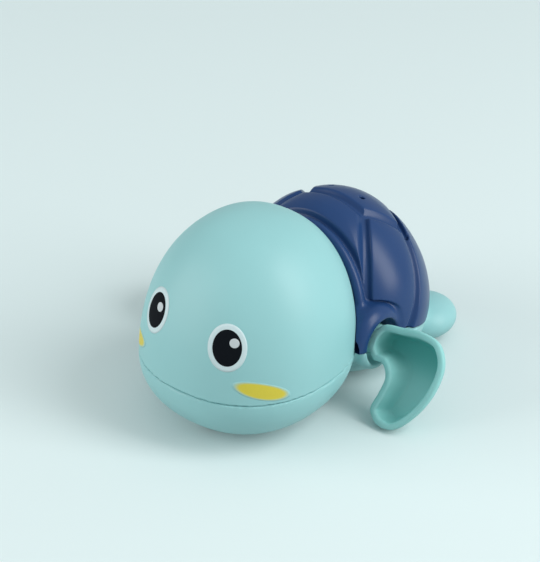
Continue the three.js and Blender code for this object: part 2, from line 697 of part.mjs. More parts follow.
// Mainspring: a flat spiral strip from the arbor out to its post
const springInner = SPRING_ARBOR_RADIUS + FIT_GAP + SPRING_STRIP / 2;
const springOuter = springInner + SPRING_PITCH * SPRING_TURNS;
const springX = -INTER_WHEEL_THICKNESS / 2 - FIT_GAP;
const springPostRadius = springOuter + SPRING_STRIP / 2 + FIT_GAP + SPRING_POST_RADIUS;

function mainspring() {
  const steps = Math.round(SPRING_TURNS * SPIRAL_STEPS);
  const edge = (offset) => Array.from({ length: steps + 1 }, (unused, i) => {
    const turn = (i / steps) * SPRING_TURNS * 2 * Math.PI;
    const radius = springInner + (SPRING_PITCH * turn) / (2 * Math.PI) + offset;
    return new THREE.Vector2(radius * Math.cos(turn), radius * Math.sin(turn));
  });
  const outline = [...edge(SPRING_STRIP / 2), ...edge(-SPRING_STRIP / 2).reverse()];
  return acrossBody(new THREE.Shape(outline), springX - SPRING_WIDTH, springX);
}

addPiece('mainspring', mainspring(), SPRING_STEEL, springLine);
const springEnd = SPRING_TURNS * 2 * Math.PI;
const springPostPlace = new THREE.Vector2(Math.cos(springEnd), Math.sin(springEnd))
  .multiplyScalar(springPostRadius)
  .add(springPlace);
const springPost = rodAcross(SPRING_POST_RADIUS, FIT_GAP - FRAME_HALF_SPAN, springX, springPostPlace.x,
  springPostPlace.y, PIN_SEGMENTS);
addPiece('spring_post', springPost, STEEL);

// Motor frame: two plates round the pivots, each with a foot, and pillars between them
const tipRadius = (teeth, module) => (teeth / 2 + ADDENDUM) * module;
const pillarReach = (teeth, module) => tipRadius(teeth, module) + PILLAR_RADIUS + PILLAR_CLEARANCE;
const greatReach = pillarReach(GREAT_WHEEL_TEETH, SLOW_MODULE);
const pillarPlaces = {
  upper: leftMeeting(interPlace, springPlace, pillarReach(INTER_WHEEL_TEETH, FAST_MODULE), greatReach),
  lower: leftMeeting(springPlace, axlePlace, greatReach, pillarReach(AXLE_PINION_TEETH, FAST_MODULE)),
};

function convexOutline(points) {
  const sorted = [...points].sort((a, b) => a.x - b.x || a.y - b.y);
  const chain = (list) => {
    const kept = [];
    list.forEach((point) => {
      while (kept.length > 1) {
        const [a, b] = kept.slice(-2);
        if (b.clone().sub(a).cross(point.clone().sub(b)) > 0) {
          break;
        }
        kept.pop();
      }
      kept.push(point);
    });
    return kept.slice(0, -1);
  };
  return [...chain(sorted), ...chain(sorted.reverse())];
}

function plateOutline() {
  const footPlace = new THREE.Vector2(FRAME_FOOT_Y, FRAME_FOOT_Z + PLATE_MARGIN);
  const pivots = [axlePlace, interPlace, springPlace];
  const rounds = [...pivots, springPostPlace, footPlace, ...Object.values(pillarPlaces)];
  const points = rounds.flatMap((middle) => Array.from({ length: ROUND_SEGMENTS }, (unused, i) => {
    const turn = (i / ROUND_SEGMENTS) * 2 * Math.PI;
    return new THREE.Vector2(Math.cos(turn), Math.sin(turn)).multiplyScalar(PLATE_MARGIN).add(middle);
  }));
  return convexOutline(points);
}

function framePlate(side) {
  const plateX = side > 0 ? FRAME_HALF_SPAN : -FRAME_HALF_SPAN - PLATE;
  const plate = acrossBody(new THREE.Shape(plateOutline()), plateX, plateX + PLATE);
  const [near, far] = [FRAME_HALF_SPAN, FRAME_HALF_SPAN + PLATE + FRAME_FOOT_REACH];
  const halfLength = FRAME_FOOT_LENGTH / 2;
  const foot = block(Math.min(side * near, side * far), Math.max(side * near, side * far),
    FRAME_FOOT_Y - halfLength, FRAME_FOOT_Y + halfLength, FRAME_FOOT_Z, FRAME_FOOT_Z + PLATE);
  const pivots = [[axlePlace, AXLE_RADIUS], [interPlace, ARBOR_RADIUS], [springPlace, SPRING_ARBOR_RADIUS]];
  const holes = pivots.map(([place, radius]) =>
    rodAcross(radius + FIT_GAP, -REACH, REACH, place.x, place.y, POST_SEGMENTS));
  const screwHole = rodUpright(postPilot, 0, SEAM_Z, side * motorPostX, FRAME_FOOT_Y);
  return plate.add(foot).subtract(joined([...holes, screwHole]));
}

addPiece('motor_plate_left', framePlate(1), STEEL);
addPiece('motor_plate_right', framePlate(-1), STEEL);
const pillarEndX = FRAME_HALF_SPAN - FIT_GAP;
Object.entries(pillarPlaces).forEach(([place, middle]) => {
  const pillar = rodAcross(PILLAR_RADIUS, -pillarEndX, pillarEndX, middle.x, middle.y, POST_SEGMENTS);
  addPiece(`motor_pillar_${place}`, pillar, STEEL);
});

// Motor screws, driven down through the plates' feet
['left', 'right'].forEach((place, i) => {
  const piece = addPiece(`motor_screw_${place}`, screw(MOTOR_SCREW_BITE - FIT_GAP, PLATE + FIT_GAP), STEEL);
  piece.rotation.x = Math.PI;
  const top = FRAME_FOOT_Z + PLATE + FIT_GAP + SCREW_HEAD;
  piece.position.set(i === 0 ? motorPostX : -motorPostX, FRAME_FOOT_Y, top);
});

export default turtle;
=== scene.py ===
"""Looks of a wind-up swimming turtle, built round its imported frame.

Metres, +Z up. The head faces -Y and the turtle's left is +X, as in the frame.
"""

import json
import math

import bpy
import numpy as np
from bpy.props import FloatProperty, FloatVectorProperty, PointerProperty
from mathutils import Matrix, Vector


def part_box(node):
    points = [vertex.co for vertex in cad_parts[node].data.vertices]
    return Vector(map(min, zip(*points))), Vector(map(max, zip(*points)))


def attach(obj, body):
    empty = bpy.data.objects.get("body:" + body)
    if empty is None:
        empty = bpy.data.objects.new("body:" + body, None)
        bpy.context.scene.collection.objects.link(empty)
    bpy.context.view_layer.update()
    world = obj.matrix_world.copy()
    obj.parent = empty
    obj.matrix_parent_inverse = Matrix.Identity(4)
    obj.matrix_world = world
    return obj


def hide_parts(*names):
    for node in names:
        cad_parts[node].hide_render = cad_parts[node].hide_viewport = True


bl_info = {
    "name": "Swimming turtle",
    "version": (1, 0, 0),
    "blender": (4, 5, 0),
    "location": "3D View > Sidebar > Turtle",
    "description": "Builds the mouldings, prints, screws and finishes of a wind-up bath turtle",
    "category": "Object",
}

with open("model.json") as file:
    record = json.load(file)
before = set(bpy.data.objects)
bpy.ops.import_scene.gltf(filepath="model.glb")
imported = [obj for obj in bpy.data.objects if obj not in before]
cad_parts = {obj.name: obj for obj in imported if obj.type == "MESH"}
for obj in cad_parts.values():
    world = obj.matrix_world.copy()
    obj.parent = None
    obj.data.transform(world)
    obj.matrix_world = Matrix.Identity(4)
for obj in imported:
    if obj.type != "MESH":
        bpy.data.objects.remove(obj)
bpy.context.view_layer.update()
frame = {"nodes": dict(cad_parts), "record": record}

MM = 0.001

# Fits and walls
FIT_GAP = 0.3 * MM
SEAM_GAP = 0.14 * MM
WALL = 1.8 * MM
EDGE_ROUND = 0.35 * MM
SEAM_ROUND = 0.2 * MM

# Parting line behind the axle
RIM_DROP = 4.0 * MM
RIM_START_Y = -3.8 * MM
RIM_LEVEL_Y = 8.0 * MM

# Powers of the rounded forms: 2 is an ellipsoid, more is fuller
HEAD_PLAN_POWER = 2.2
HEAD_DOME_POWER = 2.2
JAW_POWER = 2.1
SHELL_POWER = 1.85
BELLY_POWER = 2.3
POLE_SOFTNESS = 0.05

# Scute grooves from above, on the left half, and their half widths along the skin
TOP_SCUTE_FRONT = (9.8 * MM, 0.9 * MM)
TOP_SCUTE_SIDE = (16.2 * MM, 11.4 * MM)
TOP_SCUTE_REAR = (0.0, 20.5 * MM)
FRONT_GROOVE_AIM = (33.0 * MM, -25.6 * MM)
SIDE_GROOVE_MIDDLE = (23.6 * MM, 7.5 * MM)
SIDE_GROOVE_RIM_Y = -0.7 * MM
REAR_GROOVE_AIM = (0.0, 60.0 * MM)
GROOVE_FLOOR = 0.3 * MM
GROOVE_MOUTH = 2.1 * MM
GROOVE_DEPTH = 1.6 * MM
GROOVE_LEAST_TILT = 0.35
SIDE_GROOVE_STEEP = 1.35
SIDE_GROOVE_GENTLE = 0.9
PILLOW_REACH = 2.8 * MM
COLLAR_WIDTH = 2.8 * MM
COLLAR_RISE = 1.5 * MM
VENT_RADIUS = 0.75 * MM
VENT_PLACE = (5.2 * MM, 6.2 * MM)

# Axle bosses
AXLE_Y = -12.1 * MM
AXLE_RADIUS = 1.5 * MM
BOSS_RADIUS = 8.3 * MM
BOSS_FACE_X = 27.1 * MM
BOSS_INNER_X = 17.5 * MM
BOSS_ROUND = 1.75 * MM
BOSS_FILLET = 1.2 * MM
ARCH_RADIUS = 10.0 * MM
ARCH_ROUND = 3.3 * MM
LEDGE_RADIUS = 10.9 * MM
LEDGE_STEP = 0.7 * MM
LEDGE_FADE_START_Y = -7.5 * MM
LEDGE_FADE_END_Y = -3.5 * MM
CUP_RADIUS = 6.6 * MM
CUP_FLOOR_X = 20.5 * MM
BUSH_BORE = 3.6 * MM

# Posts, screws and their holes
POST_RADIUS = 3.2 * MM
PILOT_RADIUS = 1.5 * MM
COUNTERBORE_RADIUS = 2.6 * MM
SHELL_POST = (17.5 * MM, 9.0 * MM)
HEAD_POST_Y = -50.0 * MM
SCREW_GRIP = 5.0 * MM
SCREW_BITE = 7.3 * MM
HEAD_LAP = 4.2 * MM

# Hind feet
FOOT_PLACE = (16.5 * MM, 21.5 * MM, 6.1 * MM)
FOOT_HALF = (9.0 * MM, 9.5 * MM, 5.7 * MM)
FOOT_FILLET = 2.4 * MM
JAW_FILLET = 1.4 * MM

# Flippers: outline and spine in mm, out from the middle plane and down the paddle, then the section.
# The slant turns a height over the sloping back or dish into about a distance.
FLIPPER_OUTLINE = (
    (24.7, 0.6), (25.4, 3.1), (27.6, 5), (30.5, 5.1), (32.4, 8), (31.9, 12.6), (31, 17.7), (34.4, 20.8),
    (39.5, 20.5), (44.7, 15), (48.2, 7), (48.6, -1.3), (45, -6.5), (39.2, -7.5), (33.2, -6.5), (27, -4.9),
)
FLIPPER_SPINE = ((30.2, -0.6), (34.5, -1), (39.5, 0.5), (41, 5), (39.4, 11), (36, 16.4))
FLIPPER_FACE = 3.2 * MM
FLIPPER_DEPTH = 7.4 * MM
FLIPPER_RIM = 2.0 * MM
FLIPPER_FLOOR = 1.5 * MM
FLIPPER_BACK_TAPER = 0.53
FLIPPER_DISH_TAPER = 0.5
FLIPPER_BACK_CURVE = 1.5
FLIPPER_DISH_CURVE = 2.0
FLIPPER_SLANT = 0.6
FLIPPER_LOW_Y = -22.0 * MM
FLIPPER_HIGH = (49.2 * MM, 9.0 * MM)
FLIPPER_TURN = math.radians(63)
FLIPPER_PHASE = math.radians(90)
RIM_ROUND = 1.0 * MM
DISH_ROUND = 0.6 * MM
DISH_EDGE = 0.8 * FLIPPER_RIM
# Painted shade in the dishes fades out between these distances down the paddle.
DISH_SHADE_START = -4.0 * MM
DISH_SHADE_END = 13.0 * MM
HUB_RADIUS = 4.2 * MM
HUB_INNER_X = 22.3 * MM
HUB_OUTER_X = 26.8 * MM
SOCKET_END_X = 26.2 * MM
CURVE_STEPS = 30
MAP_CELL = 0.2 * MM
MAP_MARGIN = 3.0 * MM
LAST_ENTRY = 1.001

# Prints on the head: place across and up, size across and up, height of one layer of ink, and their meshes
EYE_PLACE = {"left": (12.2 * MM, 34.3 * MM), "right": (-12.2 * MM, 35.7 * MM)}
EYE_RING = (10.7 * MM, 12.9 * MM)
EYE_PUPIL = (7.9 * MM, 9.8 * MM)
EYE_GLINT = (2.6 * MM, 2.5 * MM)
EYE_GLINT_SHIFT = (1.45 * MM, 1.45 * MM)
CHEEK_PLACE = (21.0 * MM, 22.9 * MM)
CHEEK_SIZE = (16.4 * MM, 4.9 * MM)
CHEEK_TILT = math.radians(15)
INK = 0.04 * MM
PRINT_RINGS = 10
PRINT_STEPS = 72
PRINT_SEARCH_ROUNDS = 12
PRINT_SEARCH_SHARE = 0.9
PRINT_SETTLE_ROUNDS = 6
PRINT_SETTLE_REACH = 5.0 * MM

# Screws
SCREW_HEAD_RADIUS = 2.25 * MM
SCREW_HEAD = 1.7 * MM
SCREW_DOME = 0.35 * MM
SCREW_CORE = 1.0 * MM
SCREW_RADIUS = 1.2 * MM
SCREW_PITCH = 1.0 * MM
SCREW_TIP = 1.6 * MM
RECESS_HALF_WIDTH = 0.36 * MM
RECESS_HALF_LENGTH = 1.25 * MM
RECESS_DEPTH = 1.1 * MM
RECESS_WIDTH_TAPER = 0.4
RECESS_LENGTH_TAPER = 0.5

# Mesh sizes and the limits that keep divisions safe
HEAD_CELL = 0.7 * MM
HULL_CELL = 0.6 * MM
SHELL_CELL = 0.38 * MM
FLIPPER_CELL = 0.33 * MM
SCREW_CELL = 0.15 * MM
PROBE = 0.05 * MM
CHUNK = 200000
BLOCK = 3
NEAR_SKIN = 2.2
MARGIN_CELLS = 2
RELAX_ROUNDS = 2
LONGEST_MOVE = 0.5
RING_SHIFTS = ((0, 0), (1, 0), (1, 1), (0, 1))
LEAST_SLOPE = 1e-6
LEAST_LENGTH = 1e-9
LEAST_STEP = 1e-12

# Patterns of the finishes: scale and detail of the noise, spread of colour and gloss, depth of the bump
CLOUD = (60.0, 3.0)
CLOUD_TINT = 0.035
CLOUD_GLOSS = 0.04
GRAIN = (2200.0, 2.0)
GRAIN_DEPTH = 0.02 * MM
GLOW_REACH = (1.0 * MM, 1.4 * MM, 1.4 * MM)
MOTTLE = (900.0, 4.0)
MOTTLE_TINT = 0.03
MOTTLE_GLOSS = 0.05
MOTTLE_BUMP = 0.08
FADE_START = 0.72
TOOL_LINES = (1500.0, 4.0)
TOOL_STRETCH = (6.0, 1.0, 1.0)
TOOL_TINT = 0.08
TOOL_GLOSS = (-0.08, 0.1)
TOOL_BUMP = 0.15
FINE_DEPTH = 0.01 * MM

# Floor and light
FLOOR_HALF = 4.0
FLOOR_CLOUD = (3.0, 2.0)
FLOOR_TINT = 0.01
FLOOR_ROUGHNESS = 0.9
KEY_PLACE = (0.67, 0.20, 0.54)
KEY_SIZE = (0.35, 0.8)
FILL_PLACE = (-0.54, -0.66, 0.30)
FILL_SIZE = (0.7, 0.7)
LIGHT_AIM = (0.0, -0.015, 0.025)
SKY_COLOUR = (0.93, 0.985, 1.0, 1.0)
SKY_BRIGHT_SIDE = (0.72, 0.45, 0.53)

# Camera, from the photograph's angle
CAMERA_PLACE = (0.3427, -0.4446, 0.3733)
CAMERA_AIM = (0.00073, -0.02746, 0.03476)
CAMERA_LENS = 153.9
CAMERA_CLIP = (0.01, 20.0)


def length_property(name, description, millimetres):
    return FloatProperty(
        name=name,
        description=description,
        default=millimetres * MM,
        min=0.0,
        precision=5,
        unit="LENGTH",
        subtype="DISTANCE",
    )


def colour_property(name, description, red, green, blue):
    return FloatVectorProperty(
        name=name,
        description=description,
        default=(red, green, blue),
        min=0.0,
        max=1.0,
        size=3,
        subtype="COLOR",
    )


def strength_property(name, description, strength, unit="NONE"):
    return FloatProperty(name=name, description=description, default=strength, unit=unit)


class TurtleSizes(bpy.types.PropertyGroup):
    """Sizes of the mouldings"""

    seam_height: length_property("Seam height", "Height of the mouth line and of the flipper axle", 18.6)
    head_radius: length_property("Head radius", "Half of the head's width at the mouth line", 27.93)
    head_dome: length_property("Head dome", "Height of the head above the mouth line", 38.7)
    jaw_depth: length_property("Jaw depth", "Depth of the jaw below the mouth line", 19.2)
    head_distance: length_property("Head distance", "From the shell's middle to the head's", 36.2)
    shell_half_width: length_property("Shell half width", "Half of its width at the parting line", 28.6)
    shell_half_length: length_property("Shell half length", "Half of its length at the parting line", 26.8)
    shell_height: length_property("Shell height", "Height of the shell above the parting line", 30.4)
    belly_depth: length_property("Belly depth", "Depth of the belly below the parting line", 19.6)
    scute_rise: length_property("Scute rise", "Height of the scutes above the grooves", 1.2)
    scute_pillow: length_property("Scute pillow", "Fall of each scute from its middle to its edge", 0.5)
    head_lean: strength_property("Head lean", "Backward lean of the head, by height", 0.08)


class TurtleColours(bpy.types.PropertyGroup):
    """Colours of the finishes"""

    teal: colour_property("Teal", "Head, jaw, belly and hind feet", 0.33, 0.65, 0.66)
    mint: colour_property("Mint", "Flippers", 0.33, 0.71, 0.69)
    # Painted shade: a darker mint blended into the flippers' dishes, most at the hub's end.
    mint_painted_shade: colour_property("Deep mint", "Deepest part of the flippers' dishes", 0.10, 0.44, 0.41)
    navy: colour_property("Navy", "Shell", 0.016, 0.056, 0.175)
    eye_ring: colour_property("Eye ring", "Outer ring of the eyes", 0.66, 0.82, 0.84)
    pupil: colour_property("Pupil", "Dark oval of the eyes", 0.006, 0.008, 0.011)
    glint: colour_property("Glint", "Small light oval in each pupil", 0.62, 0.68, 0.70)
    cheek: colour_property("Cheek", "Oval print under each eye", 0.75, 0.64, 0.055)
    acetal: colour_property("Acetal", "Axle bushes", 0.78, 0.76, 0.70)
    steel: colour_property("Steel", "Axle, arbors, plates and screws", 0.56, 0.57, 0.59)
    brass: colour_property("Brass", "Wheels and pinions", 0.62, 0.43, 0.16)
    spring: colour_property("Blued steel", "Mainspring", 0.10, 0.13, 0.20)


class TurtleStage(bpy.types.PropertyGroup):
    """Floor and light"""

    floor: colour_property("Floor", "Plain floor and backdrop as they are seen", 0.80, 0.92, 0.92)
    mat: colour_property("Mat", "What the floor throws back on the toy, as from a grey mat", 0.45, 0.49, 0.49)
    key_power: strength_property("Key light", "Strength of the soft light from the right", 5.0, "POWER")
    fill_power: strength_property("Fill light", "Strength of the soft light from the left", 4.0, "POWER")
    sky: strength_property("Sky", "Strength of the light from all round, on its bright side", 0.62)
    sky_dark: strength_property("Sky shade", "Strength of the light from all round, on its dark side", 0.2)


# Fields: negative inside a body, near its true distance close to its skin


def sizes():
    return bpy.context.scene.turtle_sizes


def soft_max(a, b, radius):
    """The larger of two fields, with the edge between them rounded."""
    share = np.clip(0.5 + 0.5 * (a - b) / radius, 0.0, 1.0)
    return b + (a - b) * share + radius * share * (1.0 - share)


def soft_min(a, b, radius):
    """The smaller of two fields, with the corner between them filled."""
    return -soft_max(-a, -b, radius)


def ease(value, start, end):
    """0 before start and 1 after end, smooth between them."""
    share = np.clip((value - start) / (end - start), 0.0, 1.0)
    return share * share * (3.0 - 2.0 * share)


def slope(field, points, probe=PROBE):
    """The field's gradient by small steps each way."""
    parts = []
    for axis in range(3):
        step = np.zeros(3)
        step[axis] = probe
        parts.append((field(points + step) - field(points - step)) / (2 * probe))
    return np.stack(parts, axis=1)


def away(gauge, points):
    """Distance from the form whose gauge is 1 on its skin, and the way out of it."""
    steep = slope(gauge, points)
    size = np.maximum(np.linalg.norm(steep, axis=1), LEAST_SLOPE)
    return (gauge(points) - 1.0) / size, steep / size[:, None]


def bulb_gauge(points, middle, half, heights, powers, plan_power, lean=0.0, softness=0.0):
    """Gauge of a dome over a bowl on one widest section."""
    rise = points[:, 2] - middle[2]
    x = np.sqrt(((points[:, 0] - middle[0]) / half[0]) ** 2 + softness**2)
    y = np.sqrt(((points[:, 1] - middle[1] - lean * rise) / half[1]) ** 2 + softness**2)
    plan = (x**plan_power + y**plan_power) ** (1.0 / plan_power)
    power = np.where(rise > 0, powers[0], powers[1])
    height = np.where(rise > 0, heights[0], heights[1])
    return (plan**power + (np.abs(rise) / height) ** power) ** (1.0 / power)


def head_distance(points):
    """Distance from the head's outside."""
    s = sizes()

    def gauge(p):
        return bulb_gauge(
            p,
            (0.0, -s.head_distance, s.seam_height),
            (s.head_radius, s.head_radius),
            (s.head_dome, s.jaw_depth),
            (HEAD_DOME_POWER, JAW_POWER),
            HEAD_PLAN_POWER,
            s.head_lean,
        )

    return away(gauge, points)[0]


def shell_skin(points):
    """Distance from the shell's plain form and the way out of it."""
    s = sizes()

    def gauge(p):
        return bulb_gauge(
            p,
            (0.0, 0.0, s.seam_height),
            (s.shell_half_width, s.shell_half_length),
            (s.shell_height, s.belly_depth),
            (SHELL_POWER, BELLY_POWER),
            SHELL_POWER,
            softness=POLE_SOFTNESS,
        )

    return away(gauge, points)


def shell_distance(points):
    return shell_skin(points)[0]


def foot_distance(points):
    """Distance from the nearer hind foot."""
    mirrored = np.abs(points * np.array((1.0, 0.0, 0.0))) + points * np.array((0.0, 1.0, 1.0))

    def gauge(p):
        return np.linalg.norm((p - np.array(FOOT_PLACE)) / np.array(FOOT_HALF), axis=1)

    return away(gauge, mirrored)[0]


def parting_height(y):
    """Height of the case's parting line, which drops behind the axle."""
    share = np.clip((y - RIM_START_Y) / (RIM_LEVEL_Y - RIM_START_Y), 0.0, 1.0)
    return sizes().seam_height - RIM_DROP * share


def axle_radius(points):
    return np.hypot(points[:, 1] - AXLE_Y, points[:, 2] - sizes().seam_height)


def boss_distance(points, radius, rounding):
    """Round-edged boss on each flank, about the axle."""
    out = np.abs(points[:, 0]) - (BOSS_FACE_X - rounding)
    wide = axle_radius(points) - (radius - rounding)
    inner = BOSS_INNER_X - np.abs(points[:, 0])
    corner = np.hypot(np.maximum(out, 0.0), np.maximum(wide, 0.0)) + np.minimum(np.maximum(out, wide), 0.0)
    return np.maximum(corner - rounding, inner)


def cup_cut(body, points):
    """Cuts the flipper's cup and the bush's bore out of a body."""
    radius = axle_radius(points)
    out = np.abs(points[:, 0])
    cup = soft_max(radius - CUP_RADIUS, CUP_FLOOR_X - out, EDGE_ROUND)
    bore = np.maximum(radius - BUSH_BORE, BOSS_INNER_X - FIT_GAP - out)
    return soft_max(soft_max(body, -cup, 2 * EDGE_ROUND), -bore, EDGE_ROUND)


def post_distance(points, x, y):
    return np.hypot(np.abs(points[:, 0]) - x, points[:, 1] - y)


def segment_distance(x, y, way_out, start, end):
    """Distance along the skin from a groove that is straight in plan."""
    along = np.array(end) - np.array(start)
    share = ((x - start[0]) * along[0] + (y - start[1]) * along[1]) / (along @ along)
    share = np.clip(share, 0.0, 1.0)
    dx, dy = x - start[0] - share * along[0], y - start[1] - share * along[1]
    flat = np.maximum(np.hypot(dx, dy), LEAST_LENGTH)
    facing = (dx * way_out[0] + dy * way_out[1]) / flat
    return flat / np.sqrt(np.maximum(1.0 - facing**2, GROOVE_LEAST_TILT**2))


def shell_height_at(x, y):
    """Height of the shell's plain form over a point in plan."""
    s = sizes()
    left = 1.0 - abs(x / s.shell_half_width) ** SHELL_POWER - abs(y / s.shell_half_length) ** SHELL_POWER
    return s.seam_height + s.shell_height * max(left, 0.0) ** (1.0 / SHELL_POWER)


def side_groove_distance(x, points, outward, side):
    """Distance along the skin from the groove down each side, which lies in a tilted plane."""
    s = sizes()
    places = (TOP_SCUTE_SIDE, SIDE_GROOVE_MIDDLE)
    top, middle = (np.array((*place, shell_height_at(*place))) for place in places)
    rim_share = 1.0 - abs(SIDE_GROOVE_RIM_Y / s.shell_half_length) ** SHELL_POWER
    rim = np.array((s.shell_half_width * rim_share ** (1.0 / SHELL_POWER), SIDE_GROOVE_RIM_Y, s.seam_height))
    normal = np.cross(middle - top, rim - top)
    normal /= np.linalg.norm(normal) * np.sign(normal[1])
    off = x * normal[0] + points[:, 1] * normal[1] + points[:, 2] * normal[2] - normal @ middle
    facing = outward[:, 0] * side * normal[0] + outward[:, 1] * normal[1] + outward[:, 2] * normal[2]
    along = off / np.sqrt(np.maximum(1.0 - facing**2, GROOVE_LEAST_TILT**2))
    along = along * np.where(along > 0, SIDE_GROOVE_STEEP, SIDE_GROOVE_GENTLE)
    return np.hypot(along, np.maximum(points[:, 2] - top[2], 0.0))


def groove_distance(points, outward):
    """Distance along the skin from the nearest groove between two scutes."""
    x, y = np.abs(points[:, 0]), points[:, 1]
    side = np.where(points[:, 0] < 0, -1.0, 1.0)
    way_out = outward[:, 0] * side, outward[:, 1]
    lines = (
        ((0.0, TOP_SCUTE_FRONT[1]), TOP_SCUTE_FRONT),
        (TOP_SCUTE_FRONT, TOP_SCUTE_SIDE),
        (TOP_SCUTE_SIDE, TOP_SCUTE_REAR),
        (TOP_SCUTE_FRONT, FRONT_GROOVE_AIM),
        (TOP_SCUTE_REAR, REAR_GROOVE_AIM),
    )
    found = [segment_distance(x, y, way_out, start, end) for start, end in lines]
    return np.minimum.reduce([*found, side_groove_distance(x, points, outward, side)])


def head_cover_field(points):
    s = sizes()
    head = head_distance(points)
    lap = shell_distance(points) + HEAD_LAP
    wall = soft_max(head, -(head + WALL), EDGE_ROUND)
    wall = soft_max(wall, -lap, EDGE_ROUND)
    post = np.maximum(post_distance(points, 0.0, HEAD_POST_Y) - POST_RADIUS, head + WALL / 2)
    body = soft_min(wall, post, EDGE_ROUND)
    body = soft_max(body, s.seam_height + SEAM_GAP / 2 - points[:, 2], SEAM_ROUND)
    boss_end = BOSS_INNER_X - FIT_GAP - np.abs(points[:, 0])
    boss = np.maximum(axle_radius(points) - BOSS_RADIUS - SEAM_GAP, boss_end)
    pilot = np.maximum(
        post_distance(points, 0.0, HEAD_POST_Y) - PILOT_RADIUS, points[:, 2] - s.seam_height - SCREW_BITE
    )
    return np.maximum(soft_max(body, -boss, SEAM_ROUND), -pilot)


def carapace_field(points):
    s = sizes()
    shell, outward = shell_skin(points)
    head = head_distance(points)
    radius = axle_radius(points)
    groove = groove_distance(points, outward)
    collar_end = FIT_GAP + COLLAR_WIDTH
    edge = np.minimum(groove, head - collar_end)
    plate = ease(edge, GROOVE_FLOOR, GROOVE_MOUTH)
    ledge = 1.0 - ease(radius, LEDGE_RADIUS - LEDGE_STEP, LEDGE_RADIUS)
    plate = plate * (1.0 - ledge * (1.0 - ease(points[:, 1], LEDGE_FADE_START_Y, LEDGE_FADE_END_Y)))
    pillow = s.scute_pillow * np.exp(-np.maximum(edge, 0.0) / PILLOW_REACH)
    outside = shell + GROOVE_DEPTH * (1.0 - plate) + pillow * plate
    across = (head - FIT_GAP - COLLAR_WIDTH / 2) / (COLLAR_WIDTH / 2)
    bead = (np.hypot(across, (shell + s.scute_rise) / COLLAR_RISE) - 1.0) * COLLAR_RISE
    outside = soft_min(outside, bead, EDGE_ROUND)
    outside = soft_min(outside, boss_distance(points, ARCH_RADIUS, ARCH_ROUND), BOSS_FILLET)
    inside = shell + s.scute_rise + WALL
    body = soft_max(outside, -inside, EDGE_ROUND)
    post = np.maximum(post_distance(points, *SHELL_POST) - POST_RADIUS, inside - WALL / 2)
    body = np.minimum(body, post)
    body = soft_max(body, SEAM_GAP - head, SEAM_ROUND)
    body = np.minimum(body, boss_distance(points, BOSS_RADIUS, BOSS_ROUND))
    parting = parting_height(points[:, 1])
    body = soft_max(body, parting + SEAM_GAP / 2 - points[:, 2], SEAM_ROUND)
    pilot = np.maximum(post_distance(points, *SHELL_POST) - PILOT_RADIUS, points[:, 2] - parting - SCREW_BITE)
    vent = VENT_RADIUS - post_distance(points, *VENT_PLACE)
    return soft_max(np.maximum(cup_cut(body, points), -pilot), vent, EDGE_ROUND)


def hull_field(points):
    head = head_distance(points)
    shell = shell_distance(points)
    height = points[:, 2]
    outside = soft_min(head, shell, JAW_FILLET)
    skin = soft_min(outside, foot_distance(points), FOOT_FILLET)
    hollow = np.maximum(np.minimum(head, shell) + WALL, WALL - height)
    body = np.maximum(skin, -hollow)
    body = soft_min(body, boss_distance(points, BOSS_RADIUS, BOSS_ROUND), BOSS_FILLET)
    posts = np.minimum(post_distance(points, 0.0, HEAD_POST_Y), post_distance(points, *SHELL_POST))
    body = np.minimum(body, np.maximum(posts - POST_RADIUS, outside))
    parting = parting_height(points[:, 1])
    body = soft_max(body, height - parting + SEAM_GAP / 2, SEAM_ROUND)
    body = soft_max(body, -height, 2 * EDGE_ROUND)
    counterbore = np.maximum(posts - COUNTERBORE_RADIUS, height - parting + SCREW_GRIP)
    body = soft_max(body, -counterbore, EDGE_ROUND)
    return np.maximum(cup_cut(body, points), PILOT_RADIUS - posts)


def closed_curve(knots, count):
    """Points on a smooth closed curve through knots, spaced by their distances."""
    knots = np.array(knots, float) * MM
    total = len(knots)
    found = []
    for i in range(total):
        p = [knots[(i + k - 1) % total] for k in range(4)]
        found.append(curve_span(p, count))
    return np.concatenate(found)


def open_curve(knots, count):
    """Points on a smooth curve from the first knot to the last."""
    knots = np.array(knots, float) * MM
    ends = [2 * knots[0] - knots[1], *knots, 2 * knots[-1] - knots[-2]]
    spans = [curve_span(ends[i : i + 4], count) for i in range(len(knots) - 1)]
    return np.concatenate([*spans, knots[-1:]])


def curve_span(p, count):
    """One span of a centripetal Catmull-Rom curve."""
    t = [0.0]
    for i in range(3):
        t.append(t[-1] + max(np.linalg.norm(p[i + 1] - p[i]), LEAST_LENGTH) ** 0.5)
    at = np.linspace(t[1], t[2], count, endpoint=False)[:, None]

    def between(a, b, ta, tb):
        return a * (tb - at) / (tb - ta) + b * (at - ta) / (tb - ta)

    first = [between(p[i], p[i + 1], t[i], t[i + 1]) for i in range(3)]
    second = [between(first[i], first[i + 1], t[i], t[i + 2]) for i in range(2)]
    return between(second[0], second[1], t[1], t[2])


def line_distance(flat, line, closed):
    """How far points in a plane lie from a line, and whether they lie inside it."""
    best = np.full(len(flat), np.inf)
    inside = np.zeros(len(flat), bool)
    last = len(line) if closed else len(line) - 1
    for i in range(last):
        a, b = line[i], line[(i + 1) % len(line)]
        along = b - a
        share = np.clip(((flat - a) @ along) / (along @ along), 0.0, 1.0)
        best = np.minimum(best, np.linalg.norm(flat - a - share[:, None] * along, axis=1))
        spans = (a[1] > flat[:, 1]) != (b[1] > flat[:, 1])
        rise = b[1] - a[1] if b[1] != a[1] else LEAST_STEP
        inside ^= spans & (flat[:, 0] < a[0] + along[0] * (flat[:, 1] - a[1]) / rise)
    return best, inside


